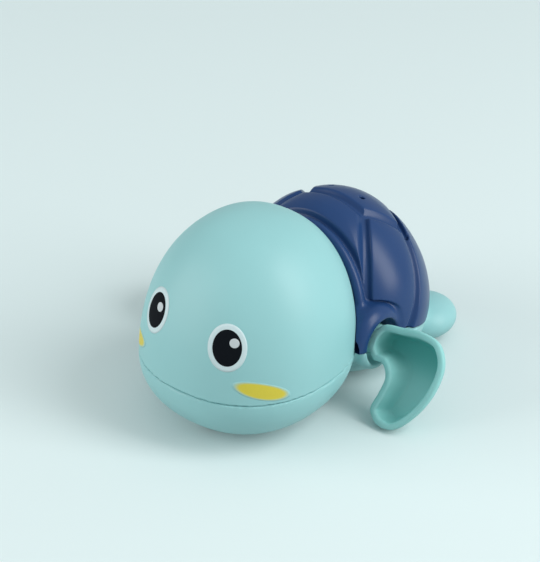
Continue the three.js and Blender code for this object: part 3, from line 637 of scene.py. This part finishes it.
def paddle_maps():
    """Tables of the distance inside the flipper's edge and from its spine, over its plane."""
    edge = closed_curve(FLIPPER_OUTLINE, CURVE_STEPS)
    spine = open_curve(FLIPPER_SPINE, CURVE_STEPS)
    low = edge.min(0) - MAP_MARGIN
    high = edge.max(0) + MAP_MARGIN
    xs = np.arange(low[0], high[0], MAP_CELL)
    ys = np.arange(low[1], high[1], MAP_CELL)
    flat = np.stack(np.meshgrid(xs, ys, indexing="ij"), -1).reshape(-1, 2)
    reach, inside = line_distance(flat, edge, True)
    reach = np.where(inside, reach, -reach).reshape(len(xs), len(ys))
    middle = line_distance(flat, spine, False)[0].reshape(len(xs), len(ys))
    return low, reach, middle


def look_up(table, low, x, y):
    """A table's value between its points."""
    u = np.clip((x - low[0]) / MAP_CELL, 0, table.shape[0] - LAST_ENTRY)
    v = np.clip((y - low[1]) / MAP_CELL, 0, table.shape[1] - LAST_ENTRY)
    i, j = u.astype(int), v.astype(int)
    u, v = u - i, v - j
    left = table[i, j] * (1 - v) + table[i, j + 1] * v
    right = table[i + 1, j] * (1 - v) + table[i + 1, j + 1] * v
    return left * (1 - u) + right * u


def flipper_field(maps):
    """Field of the left flipper, lying on its back in its own plane."""
    low, reach, middle = maps
    back = FLIPPER_FACE - FLIPPER_DEPTH

    def underside(drawn):
        part = np.clip(drawn, 0.0, FLIPPER_BACK_TAPER) / FLIPPER_BACK_TAPER
        return back + (1.0 - part ** (1.0 / FLIPPER_BACK_CURVE)) * FLIPPER_DEPTH

    def bowl(drawn):
        part = np.clip(drawn, 0.0, FLIPPER_DISH_TAPER) / FLIPPER_DISH_TAPER
        return back + FLIPPER_FLOOR + (1.0 - part) ** FLIPPER_DISH_CURVE * (FLIPPER_DEPTH - FLIPPER_FLOOR)

    def field(points):
        x, down, height = points[:, 0], -points[:, 1], points[:, 2]
        within = look_up(reach, low, x, down)
        spine = look_up(middle, low, x, down)
        outer = np.maximum(within, 0.0) / (np.maximum(within, 0.0) + spine + LEAST_LENGTH)
        inset = within - FLIPPER_RIM
        inner = np.maximum(inset, 0.0) / (np.maximum(inset, 0.0) + spine + LEAST_LENGTH)
        under = underside(outer) - height
        over = bowl(inner) - height
        boat = soft_max(-within, under * FLIPPER_SLANT, RIM_ROUND)
        dish = np.maximum(-inset, over * FLIPPER_SLANT)
        face = soft_max(height - FLIPPER_FACE, -dish, DISH_ROUND)
        rounding = RIM_ROUND + (EDGE_ROUND - RIM_ROUND) * ease(within, FLIPPER_RIM / 2, FLIPPER_RIM)
        body = soft_max(boat, face, rounding)
        radius = np.hypot(points[:, 1], height)
        hub = np.maximum(radius - HUB_RADIUS, np.maximum(HUB_INNER_X - x, x - HUB_OUTER_X))
        hub = soft_max(hub, height - FLIPPER_FACE, EDGE_ROUND)
        body = soft_min(body, hub, EDGE_ROUND)
        socket = np.maximum(radius - AXLE_RADIUS - FIT_GAP, x - SOCKET_END_X)
        return np.maximum(body, -socket)

    return field


def screw_field(length):
    """Field of a screw with a domed cross-recessed head at its foot and a coarse thread."""

    def field(points):
        x, y, z = np.abs(points[:, 0]), np.abs(points[:, 1]), points[:, 2]
        radius = np.hypot(x, y)
        turn = np.arctan2(points[:, 1], points[:, 0]) / (2 * math.pi)
        head = soft_max(radius - SCREW_HEAD_RADIUS, z - SCREW_HEAD, EDGE_ROUND)
        head = soft_max(head, SCREW_DOME * (radius / SCREW_HEAD_RADIUS) ** 2 - z, EDGE_ROUND)
        crest = np.abs((z / SCREW_PITCH - turn) % 1.0 - 0.5) * 2.0
        taper = np.clip((length - z) / SCREW_TIP, 0.0, 1.0)
        shank = radius - (SCREW_CORE + (SCREW_RADIUS - SCREW_CORE) * crest) * taper
        shank = np.maximum(shank, SCREW_HEAD / 2 - z)
        narrow = RECESS_HALF_WIDTH * (1.0 - RECESS_WIDTH_TAPER * z / RECESS_DEPTH)
        wide = RECESS_HALF_LENGTH * (1.0 - RECESS_LENGTH_TAPER * z / RECESS_DEPTH)
        cross = np.maximum(np.minimum(x, y) - narrow, np.maximum(x, y) - wide)
        return soft_max(np.minimum(head, shank), -np.maximum(cross, z - RECESS_DEPTH), EDGE_ROUND / 3)

    return field


# Skins: a mesh on the zero of a field


def in_chunks(field, points):
    return np.concatenate([field(points[i : i + CHUNK]) for i in range(0, len(points), CHUNK)])


def slopes_in_chunks(field, points, probe):
    return np.concatenate([slope(field, points[i : i + CHUNK], probe) for i in range(0, len(points), CHUNK)])


def settle(field, points, cell, rounds=3):
    """Moves points along the field's slope onto its skin."""
    for _ in range(rounds):
        steep = slopes_in_chunks(field, points, PROBE)
        value = in_chunks(field, points)
        move = steep * (value / np.maximum((steep**2).sum(1), LEAST_SLOPE))[:, None]
        size = np.linalg.norm(move, axis=1)
        points = points - move * np.minimum(1.0, LONGEST_MOVE * cell / np.maximum(size, LEAST_STEP))[:, None]
    return points


def relax(points, quads, share=0.5):
    """Draws each point towards the middle of its neighbours."""
    total = np.zeros_like(points)
    count = np.zeros(len(points))
    for i in range(4):
        a, b = quads[:, i], quads[:, (i + 1) % 4]
        np.add.at(total, a, points[b])
        np.add.at(total, b, points[a])
        np.add.at(count, a, 1)
        np.add.at(count, b, 1)
    return points * (1 - share) + share * total / np.maximum(count, 1)[:, None]


def neighbours(axis):
    """Slices that pair each point of a grid with the next one along an axis."""
    near, far = [slice(None)] * 3, [slice(None)] * 3
    near[axis], far[axis] = slice(None, -1), slice(1, None)
    return tuple(near), tuple(far)


def cells_round(cross, axis):
    """The four cells round each crossed edge along an axis, in turn."""
    first, second = (k for k in range(3) if k != axis)
    found = []
    for shift in RING_SHIFTS:
        home = cross.copy()
        home[:, first] -= shift[0]
        home[:, second] -= shift[1]
        found.append(tuple(home.T))
    return found


def sampled(field, axes, cell):
    """The field on a grid, worked out in full only in the blocks near its skin."""
    coarse_axes = [axis[::BLOCK] for axis in axes]
    grid = np.stack(np.meshgrid(*coarse_axes, indexing="ij"), -1)
    value = in_chunks(field, grid.reshape(-1, 3)).reshape(grid.shape[:3])
    wanted = np.abs(value) < NEAR_SKIN * BLOCK * cell
    for axis in range(3):
        near, far = neighbours(axis)
        block = wanted[near] | wanted[far]
        ends = [block.take([k], axis) for k in (0, -1)]
        spread = np.repeat(block, BLOCK, axis)
        wanted = np.concatenate([spread, ends[1]], axis) | np.concatenate([ends[0], spread], axis)
        value = np.repeat(value, BLOCK, axis).take(range(len(axes[axis])), axis)
    found = np.argwhere(wanted)
    value[wanted] = in_chunks(field, np.stack([axes[k][found[:, k]] for k in range(3)], 1))
    return value


def skin(field, low, high, cell):
    """Points, quads and normals of the field's skin inside a box."""
    axes = []
    for start, end in zip(low, high):
        blocks = math.ceil((end - start + 2 * MARGIN_CELLS * cell) / (BLOCK * cell))
        axes.append(start - MARGIN_CELLS * cell + cell * np.arange(blocks * BLOCK + 1))
    value = sampled(field, axes, cell)
    inside = value < 0
    cells = tuple(len(axis) - 1 for axis in axes)
    total = np.zeros(cells + (3,))
    count = np.zeros(cells)
    crossings = []
    for axis in range(3):
        near, far = neighbours(axis)
        cross = np.argwhere(inside[near] != inside[far])
        step = np.eye(3, dtype=int)[axis]
        a = value[tuple(cross.T)]
        b = value[tuple((cross + step).T)]
        place = np.stack([axes[k][cross[:, k]] for k in range(3)], 1)
        place[:, axis] += cell * a / (a - b)
        homes = cells_round(cross, axis)
        for home in homes:
            np.add.at(total, home, place)
            np.add.at(count, home, 1)
        leaving = a < 0
        crossings.append((homes, leaving if axis == 1 else ~leaving))
    index = np.full(cells, -1)
    used = count > 0
    index[used] = np.arange(used.sum())
    points = total[used] / count[used][:, None]
    quads = []
    for homes, flip in crossings:
        ring = np.stack([index[home] for home in homes], 1)
        ring[flip] = ring[flip][:, ::-1]
        quads.append(ring)
    quads = np.concatenate(quads)
    for _ in range(RELAX_ROUNDS):
        points = relax(points, quads)
        points = settle(field, points, cell, 2)
    points = settle(field, points, cell)
    normals = slopes_in_chunks(field, points, cell / 2)
    normals /= np.maximum(np.linalg.norm(normals, axis=1), LEAST_LENGTH)[:, None]
    return points, quads, normals


def new_piece(name, points, faces, material, normals=None):
    """A smooth-shaded mesh object in the scene."""
    mesh = bpy.data.meshes.new(name)
    mesh.from_pydata(points.tolist(), [], [list(face) for face in faces])
    mesh.polygons.foreach_set("use_smooth", [True] * len(mesh.polygons))
    mesh.materials.append(material)
    mesh.update()
    if normals is not None:
        mesh.normals_split_custom_set_from_vertices(normals.tolist())
    piece = bpy.data.objects.new(name, mesh)
    bpy.context.scene.collection.objects.link(piece)
    return piece


def add_measure(piece, name, values):
    """Keeps one number for each point of a mesh, for its finish to use."""
    piece.data.attributes.new(name, "FLOAT", "POINT").data.foreach_set("value", values)


def place_piece(piece, body, slot, *nodes):
    """Puts a piece on its body and hides the nodes that it stands for. The slot is not used."""
    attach(piece, body)
    if nodes:
        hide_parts(*nodes)


def moulded(name, node, field, cell, material, slot):
    """One moulding of the case, in place of its node."""
    low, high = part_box(node)
    points, quads, normals = skin(field, low, high, cell)
    piece = new_piece(name, points, quads, material, normals)
    place_piece(piece, "case", slot, node)
    return piece


# Finishes


def colours():
    return bpy.context.scene.turtle_colours


def finish_nodes(name):
    """A new material, the parts of its node tree and the place on the object."""
    material = bpy.data.materials.new(name)
    material.use_nodes = True
    nodes = material.node_tree.nodes
    shader = nodes["Principled BSDF"]
    place = nodes.new("ShaderNodeTexCoord")
    return material, nodes, material.node_tree.links, shader, place.outputs["Object"]


def speckle(nodes, links, place, pattern):
    """Noise of a scale and a detail, over the object."""
    scale, detail = pattern
    noise = nodes.new("ShaderNodeTexNoise")
    noise.inputs["Scale"].default_value = scale
    noise.inputs["Detail"].default_value = detail
    links.new(place, noise.inputs["Vector"])
    return noise.outputs["Fac"]


def mixed(nodes, links, share, first, second):
    """One colour going over to another by a share. Each is a plain colour or a node's output."""
    mix = nodes.new("ShaderNodeMix")
    mix.data_type = "RGBA"
    links.new(share, mix.inputs["Factor"])
    for name, paint in (("A", first), ("B", second)):
        if isinstance(paint, bpy.types.NodeSocket):
            links.new(paint, mix.inputs[name])
        else:
            mix.inputs[name].default_value = (*paint, 1)
    return mix.outputs["Result"]


def tinted(nodes, links, amount, colour, spread):
    """Two near shades of one colour, mixed by a pattern."""
    dark = [c * (1 - spread) for c in colour]
    light = [min(1.0, c * (1 + spread)) for c in colour]
    return mixed(nodes, links, amount, dark, light)


def ranged(nodes, links, amount, low, high):
    """A pattern stretched from 0 and 1 to two other values."""
    span = nodes.new("ShaderNodeMapRange")
    span.inputs["To Min"].default_value = low
    span.inputs["To Max"].default_value = high
    links.new(amount, span.inputs["Value"])
    return span.outputs["Result"]


def bumped(nodes, links, shader, amount, strength, depth):
    """Fine relief on a finish."""
    bump = nodes.new("ShaderNodeBump")
    bump.inputs["Strength"].default_value = strength
    bump.inputs["Distance"].default_value = depth
    links.new(amount, bump.inputs["Height"])
    links.new(bump.outputs["Normal"], shader.inputs["Normal"])


def blended(nodes, links, measure, start, paint, other):
    """Goes over from one colour to another as a measure on the mesh rises from start to 1."""
    found = nodes.new("ShaderNodeAttribute")
    found.attribute_name = measure
    share = nodes.new("ShaderNodeMapRange")
    share.interpolation_type = "SMOOTHSTEP"
    share.inputs["From Min"].default_value = start
    links.new(found.outputs["Fac"], share.inputs["Value"])
    return mixed(nodes, links, share.outputs["Result"], paint, other)


def plastic(name, colour, rough, grain, sheen=0.5, translucence=0.0, shade_colour=None):
    """Moulded plastic: cloudy shade, uneven gloss and fine grain. A shade colour, where given, is painted
    shade mixed into its hollows by a measure on the mesh.
    """
    material, nodes, links, shader, place = finish_nodes(name)
    cloud = speckle(nodes, links, place, CLOUD)
    paint = tinted(nodes, links, cloud, colour, CLOUD_TINT)
    # Painted shade: a darker colour mixed over the paint by a measure stored on the mesh.
    if shade_colour:
        paint = blended(nodes, links, "painted_dish_shade", 0.0, paint, shade_colour)
    links.new(paint, shader.inputs["Base Color"])
    gloss = ranged(nodes, links, cloud, rough - CLOUD_GLOSS, rough + CLOUD_GLOSS)
    links.new(gloss, shader.inputs["Roughness"])
    bumped(nodes, links, shader, speckle(nodes, links, place, GRAIN), grain, GRAIN_DEPTH)
    shader.inputs["Specular IOR Level"].default_value = sheen
    shader.inputs["Subsurface Weight"].default_value = translucence
    shader.inputs["Subsurface Radius"].default_value = GLOW_REACH
    shader.inputs["Subsurface Scale"].default_value = 1.0
    return material


def ink(name, colour, rough, sheen=0.5, fade=None):
    """Printed ink with the faint mottle of the pad. With a fade, it is sprayed and thins out at its edge."""
    material, nodes, links, shader, place = finish_nodes(name)
    mottle = speckle(nodes, links, place, MOTTLE)
    paint = tinted(nodes, links, mottle, colour, MOTTLE_TINT)
    if fade:
        paint = blended(nodes, links, "reach", FADE_START, paint, fade)
    links.new(paint, shader.inputs["Base Color"])
    gloss = ranged(nodes, links, mottle, rough - MOTTLE_GLOSS, rough + MOTTLE_GLOSS)
    links.new(gloss, shader.inputs["Roughness"])
    bumped(nodes, links, shader, mottle, MOTTLE_BUMP, FINE_DEPTH)
    shader.inputs["Specular IOR Level"].default_value = sheen
    return material


def metal(name, colour, rough):
    """Cut or drawn metal with fine tool lines across the body."""
    material, nodes, links, shader, place = finish_nodes(name)
    stretch = nodes.new("ShaderNodeMapping")
    stretch.inputs["Scale"].default_value = TOOL_STRETCH
    links.new(place, stretch.inputs["Vector"])
    lines = speckle(nodes, links, stretch.outputs["Vector"], TOOL_LINES)
    links.new(tinted(nodes, links, lines, colour, TOOL_TINT), shader.inputs["Base Color"])
    gloss = ranged(nodes, links, lines, rough + TOOL_GLOSS[0], rough + TOOL_GLOSS[1])
    links.new(gloss, shader.inputs["Roughness"])
    bumped(nodes, links, shader, lines, TOOL_BUMP, FINE_DEPTH)
    shader.inputs["Metallic"].default_value = 1.0
    return material


# Operators


class TURTLE_OT_head(bpy.types.Operator):
    """Head cover, the round upper moulding of the head"""

    bl_idname = "turtle.head"
    bl_label = "Head cover"

    def execute(self, context):
        teal = plastic("teal_plastic", colours().teal, rough=0.46, grain=0.12, translucence=0.08)
        moulded("head_dome", "head_cover", head_cover_field, HEAD_CELL, teal, "teal_moulding")
        return {"FINISHED"}


class TURTLE_OT_hull(bpy.types.Operator):
    """Lower hull with the jaw, belly and hind feet"""

    bl_idname = "turtle.hull"
    bl_label = "Lower hull"

    def execute(self, context):
        teal = bpy.data.materials["teal_plastic"]
        moulded("jaw_and_belly", "lower_hull", hull_field, HULL_CELL, teal, "teal_moulding")
        return {"FINISHED"}


class TURTLE_OT_carapace(bpy.types.Operator):
    """Carapace with its scutes, collar and axle bosses"""

    bl_idname = "turtle.carapace"
    bl_label = "Carapace"

    def execute(self, context):
        navy = plastic("navy_plastic", colours().navy, rough=0.32, grain=0.05, sheen=0.33)
        moulded("shell", "carapace", carapace_field, SHELL_CELL, navy, "navy_moulding")
        return {"FINISHED"}


class TURTLE_OT_flippers(bpy.types.Operator):
    """Dished flippers on both ends of the axle"""

    bl_idname = "turtle.flippers"
    bl_label = "Flippers"

    def execute(self, context):
        tones = colours()
        # The flippers' dishes get painted shade, darker towards the hub's end.
        finish = {"rough": 0.5, "grain": 0.1, "sheen": 0.25, "translucence": 0.08, "shade_colour": tones.mint_painted_shade}
        mint = plastic("mint_plastic", tones.mint, **finish)
        maps = paddle_maps()
        field = flipper_field(maps)
        low = (HUB_INNER_X, FLIPPER_LOW_Y, FLIPPER_FACE - FLIPPER_DEPTH - MM)
        high = (*FLIPPER_HIGH, FLIPPER_FACE)
        points, quads, normals = skin(field, low, high, FLIPPER_CELL)
        painted_dish_shade = self.painted_dish_shade(maps, points, normals)
        middle = np.array((0.0, AXLE_Y, context.scene.turtle_sizes.seam_height))
        for side, mirror, angle in (("left", 1, FLIPPER_TURN), ("right", -1, FLIPPER_TURN + FLIPPER_PHASE)):
            cos, sin = math.cos(angle), math.sin(angle)
            turn = np.array(((1, 0, 0), (0, cos, -sin), (0, sin, cos)))
            flip = np.array((mirror, 1, 1))
            places, ways = (points @ turn.T + middle) * flip, (normals @ turn.T) * flip
            piece = new_piece(f"paddle_{side}", places, quads[:, ::mirror], mint, ways)
            # Painted shade measure, kept on each flipper for its finish.
            add_measure(piece, "painted_dish_shade", painted_dish_shade)
            place_piece(piece, "drive", "mint_moulding", f"flipper_{side}")
        return {"FINISHED"}

    def painted_dish_shade(self, maps, points, normals):
        """Share of painted shade at each point, by how deep it lies in the dish: most at the hub's end and
        none on the rim and the back.
        """
        low, reach, _ = maps
        down = -points[:, 1]
        depth = np.clip((FLIPPER_FACE - points[:, 2]) / (FLIPPER_DEPTH - FLIPPER_FLOOR), 0.0, 1.0)
        in_dish = (look_up(reach, low, points[:, 0], down) > DISH_EDGE) & (normals[:, 2] > 0.0)
        return depth * in_dish * (1.0 - ease(down, DISH_SHADE_START, DISH_SHADE_END))


def print_spot(name, place, size, layer, material, tilt=0.0):
    """An oval of ink on the head's front, drawn on its skin."""
    s = sizes()
    start = np.array([[place[0], -s.head_distance - s.head_radius, place[1]]])
    for _ in range(PRINT_SEARCH_ROUNDS):
        start[:, 1] += head_distance(start) * PRINT_SEARCH_SHARE
    outward = slope(head_distance, start)[0]
    outward /= np.linalg.norm(outward)
    right = np.cross((0.0, 0.0, 1.0), outward)
    right /= np.linalg.norm(right)
    up = np.cross(outward, right)
    right, up = (
        right * math.cos(tilt) + up * math.sin(tilt),
        up * math.cos(tilt) - right * math.sin(tilt),
    )
    rings, steps = PRINT_RINGS, PRINT_STEPS
    turn = np.arange(steps) * 2 * math.pi / steps
    flat = [start[0]]
    for ring in range(1, rings + 1):
        share = ring / rings
        across = np.outer(np.cos(turn) * size[0] / 2 * share, right)
        along = np.outer(np.sin(turn) * size[1] / 2 * share, up)
        flat.extend(start[0] + across + along)
    flat = settle(head_distance, np.array(flat), PRINT_SETTLE_REACH, PRINT_SETTLE_ROUNDS)
    lift = slope(head_distance, flat)
    lift /= np.linalg.norm(lift, axis=1)[:, None]
    top = flat + lift * INK * layer
    skirt = flat[-steps:] - lift[-steps:] * INK
    points = np.concatenate([top, skirt])
    pairs = [(i, (i + 1) % steps) for i in range(steps)]
    faces = [(0, 1 + i, 1 + j) for i, j in pairs]
    for ring in range(rings):
        near = 1 + ring * steps
        far = near + steps
        faces += [(near + i, far + i, far + j, near + j) for i, j in pairs]
    faces.append(tuple(reversed(range(len(top), len(points)))))
    piece = new_piece(name, points, faces, material)
    for edge_face in piece.data.polygons[len(faces) - steps - 1 :]:
        edge_face.use_smooth = False
    reach = [0.0] + [ring / rings for ring in range(1, rings + 1) for _ in range(steps)] + [1.0] * steps
    add_measure(piece, "reach", reach)
    return piece


class TURTLE_OT_face(bpy.types.Operator):
    """Printed eyes and cheeks"""

    bl_idname = "turtle.face"
    bl_label = "Face prints"

    def execute(self, context):
        tones = colours()
        ring = ink("eye_ring_ink", tones.eye_ring, rough=0.4)
        pupil = ink("pupil_ink", tones.pupil, rough=0.6, sheen=0.04)
        glint = ink("glint_ink", tones.glint, rough=0.4)
        cheek = ink("cheek_ink", tones.cheek, rough=0.45, fade=tones.teal)
        for side, mirror in (("left", 1), ("right", -1)):
            eye = EYE_PLACE[side]
            shine = (eye[0] + EYE_GLINT_SHIFT[0], eye[1] + EYE_GLINT_SHIFT[1])
            spot = (mirror * CHEEK_PLACE[0], CHEEK_PLACE[1])
            prints = (
                (f"eye_ring_{side}", eye, EYE_RING, 1, ring),
                (f"pupil_{side}", eye, EYE_PUPIL, 2, pupil),
                (f"glint_{side}", shine, EYE_GLINT, 3, glint),
                (f"cheek_{side}", spot, CHEEK_SIZE, 1, cheek, -mirror * CHEEK_TILT),
            )
            for oval in prints:
                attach(print_spot(*oval), "case")
        return {"FINISHED"}


class TURTLE_OT_screws(bpy.types.Operator):
    """Cross-recessed screws of the case and of the clockwork"""

    bl_idname = "turtle.screws"
    bl_label = "Screws"

    def execute(self, context):
        steel = metal("screw_steel", colours().steel, rough=0.3)
        places = {
            "case_screw": ("front", "rear_left", "rear_right"),
            "motor_screw": ("left", "right"),
        }
        for kind, names in places.items():
            low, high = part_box(f"{kind}_{names[0]}")
            length = high[2] - low[2]
            half = SCREW_HEAD_RADIUS
            box = (-half, -half, 0.0), (half, half, length)
            points, quads, normals = skin(screw_field(length), *box, SCREW_CELL)
            upright = 1 if kind == "case_screw" else -1
            turn = np.array((1, upright, upright))
            for name in names:
                node = f"{kind}_{name}"
                low, high = (np.array(corner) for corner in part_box(node))
                foot = (low + high) / 2
                foot[2] = low[2] if upright > 0 else high[2]
                piece = new_piece(f"{node}_cut", points * turn + foot, quads, steel, normals * turn)
                place_piece(piece, "case", "steel", node)
        return {"FINISHED"}


class TURTLE_OT_clockwork(bpy.types.Operator):
    """Finishes of the clockwork and bushes"""

    bl_idname = "turtle.clockwork"
    bl_label = "Clockwork finishes"

    def execute(self, context):
        tones = colours()
        finishes = {
            "steel": metal("steel_drawn", tones.steel, rough=0.34),
            "brass": metal("brass_cut", tones.brass, rough=0.3),
            "spring_steel": metal("steel_blued", tones.spring, rough=0.32),
            "bush_plastic": plastic("acetal_plastic", tones.acetal, rough=0.4, grain=0.08),
        }
        for part in frame["record"]["subparts"]:
            if part["material_slot"] in finishes:
                node = frame["nodes"][part["node"]]
                node.data.materials.clear()
                node.data.materials.append(finishes[part["material_slot"]])
        return {"FINISHED"}


class TURTLE_OT_stage(bpy.types.Operator):
    """Floor, soft light and the camera"""

    bl_idname = "turtle.stage"
    bl_label = "Stage"

    def execute(self, context):
        scene = context.scene
        stage = scene.turtle_stage
        material, nodes, links, shader, place = finish_nodes("floor_paint")
        paint = tinted(nodes, links, speckle(nodes, links, place, FLOOR_CLOUD), stage.floor, FLOOR_TINT)
        links.new(self.seen_colour(nodes, links, stage.mat, paint), shader.inputs["Base Color"])
        shader.inputs["Roughness"].default_value = FLOOR_ROUGHNESS
        half = FLOOR_HALF
        corners = np.array([(-half, -half, 0), (half, -half, 0), (half, half, 0), (-half, half, 0)])
        floor = new_piece("floor", corners, [(0, 1, 2, 3)], material)

        scene.world = self.sky(stage)
        self.soft_light("key", KEY_PLACE, KEY_SIZE, stage.key_power)
        self.soft_light("fill", FILL_PLACE, FILL_SIZE, stage.fill_power)

        lens = bpy.data.cameras.new("photo_camera")
        lens.lens = CAMERA_LENS
        lens.clip_start, lens.clip_end = CAMERA_CLIP
        camera = bpy.data.objects.new("photo_camera", lens)
        self.point(camera, CAMERA_PLACE, CAMERA_AIM)
        scene.camera = camera
        scene.view_settings.view_transform = "Standard"
        return {"FINISHED"}

    def point(self, item, place, target):
        """Sets a camera or a light in its place, facing a target."""
        item.location = place
        item.rotation_euler = (Vector(target) - Vector(place)).to_track_quat("-Z", "Y").to_euler()
        bpy.context.scene.collection.objects.link(item)

    def seen_colour(self, nodes, links, unseen, seen):
        """One colour for what looks at the floor and another for the light that it throws back."""
        path = nodes.new("ShaderNodeLightPath")
        looked_at = path.outputs["Is Camera Ray"]
        for kind in ("Is Glossy Ray", "Is Transmission Ray"):
            either = nodes.new("ShaderNodeMath")
            either.operation = "MAXIMUM"
            links.new(looked_at, either.inputs[0])
            links.new(path.outputs[kind], either.inputs[1])
            looked_at = either.outputs["Value"]
        return mixed(nodes, links, looked_at, unseen, seen)

    def sky(self, stage):
        """Light from all round, brighter on the side of the key light."""
        world = bpy.data.worlds.new("room_light")
        world.use_nodes = True
        nodes, links = world.node_tree.nodes, world.node_tree.links
        background = nodes["Background"]
        background.inputs["Color"].default_value = SKY_COLOUR
        way = nodes.new("ShaderNodeTexCoord")
        towards = nodes.new("ShaderNodeVectorMath")
        towards.operation = "DOT_PRODUCT"
        towards.inputs[1].default_value = SKY_BRIGHT_SIDE
        links.new(way.outputs["Generated"], towards.inputs[0])
        strength = nodes.new("ShaderNodeMapRange")
        strength.inputs["From Min"].default_value = -1.0
        strength.inputs["To Min"].default_value = stage.sky_dark
        strength.inputs["To Max"].default_value = stage.sky
        links.new(towards.outputs["Value"], strength.inputs["Value"])
        links.new(strength.outputs["Result"], background.inputs["Strength"])
        return world

    def soft_light(self, name, place, size, power):
        data = bpy.data.lights.new(name, "AREA")
        data.shape = "RECTANGLE"
        data.size, data.size_y = size
        data.energy = power
        self.point(bpy.data.objects.new(name, data), place, LIGHT_AIM)


OPERATORS = (
    TURTLE_OT_head,
    TURTLE_OT_hull,
    TURTLE_OT_carapace,
    TURTLE_OT_flippers,
    TURTLE_OT_face,
    TURTLE_OT_screws,
    TURTLE_OT_clockwork,
    TURTLE_OT_stage,
)


class TURTLE_PT_sidebar(bpy.types.Panel):
    """Lists the pieces and what can be changed"""

    bl_idname = "TURTLE_PT_sidebar"
    bl_label = "Swimming turtle"
    bl_space_type = "VIEW_3D"
    bl_region_type = "UI"
    bl_category = "Turtle"

    def draw(self, context):
        for operator in OPERATORS:
            self.layout.operator(operator.bl_idname)
        for group in (context.scene.turtle_sizes, context.scene.turtle_colours, context.scene.turtle_stage):
            column = self.layout.column()
            for name in group.bl_rna.properties.keys():
                if name not in {"rna_type", "name"}:
                    column.prop(group, name)


GROUPS = (TurtleSizes, TurtleColours, TurtleStage)


def register():
    for item in (*GROUPS, *OPERATORS, TURTLE_PT_sidebar):
        bpy.utils.register_class(item)
    bpy.types.Scene.turtle_sizes = PointerProperty(type=TurtleSizes)
    bpy.types.Scene.turtle_colours = PointerProperty(type=TurtleColours)
    bpy.types.Scene.turtle_stage = PointerProperty(type=TurtleStage)


def unregister():
    del bpy.types.Scene.turtle_stage
    del bpy.types.Scene.turtle_colours
    del bpy.types.Scene.turtle_sizes
    for item in reversed((*GROUPS, *OPERATORS, TURTLE_PT_sidebar)):
        bpy.utils.unregister_class(item)


def main():
    register()
    bpy.ops.turtle.head()
    bpy.ops.turtle.hull()
    bpy.ops.turtle.carapace()
    bpy.ops.turtle.flippers()
    bpy.ops.turtle.face()
    bpy.ops.turtle.screws()
    bpy.ops.turtle.clockwork()
    bpy.ops.turtle.stage()


if __name__ == "__main__":
    main()
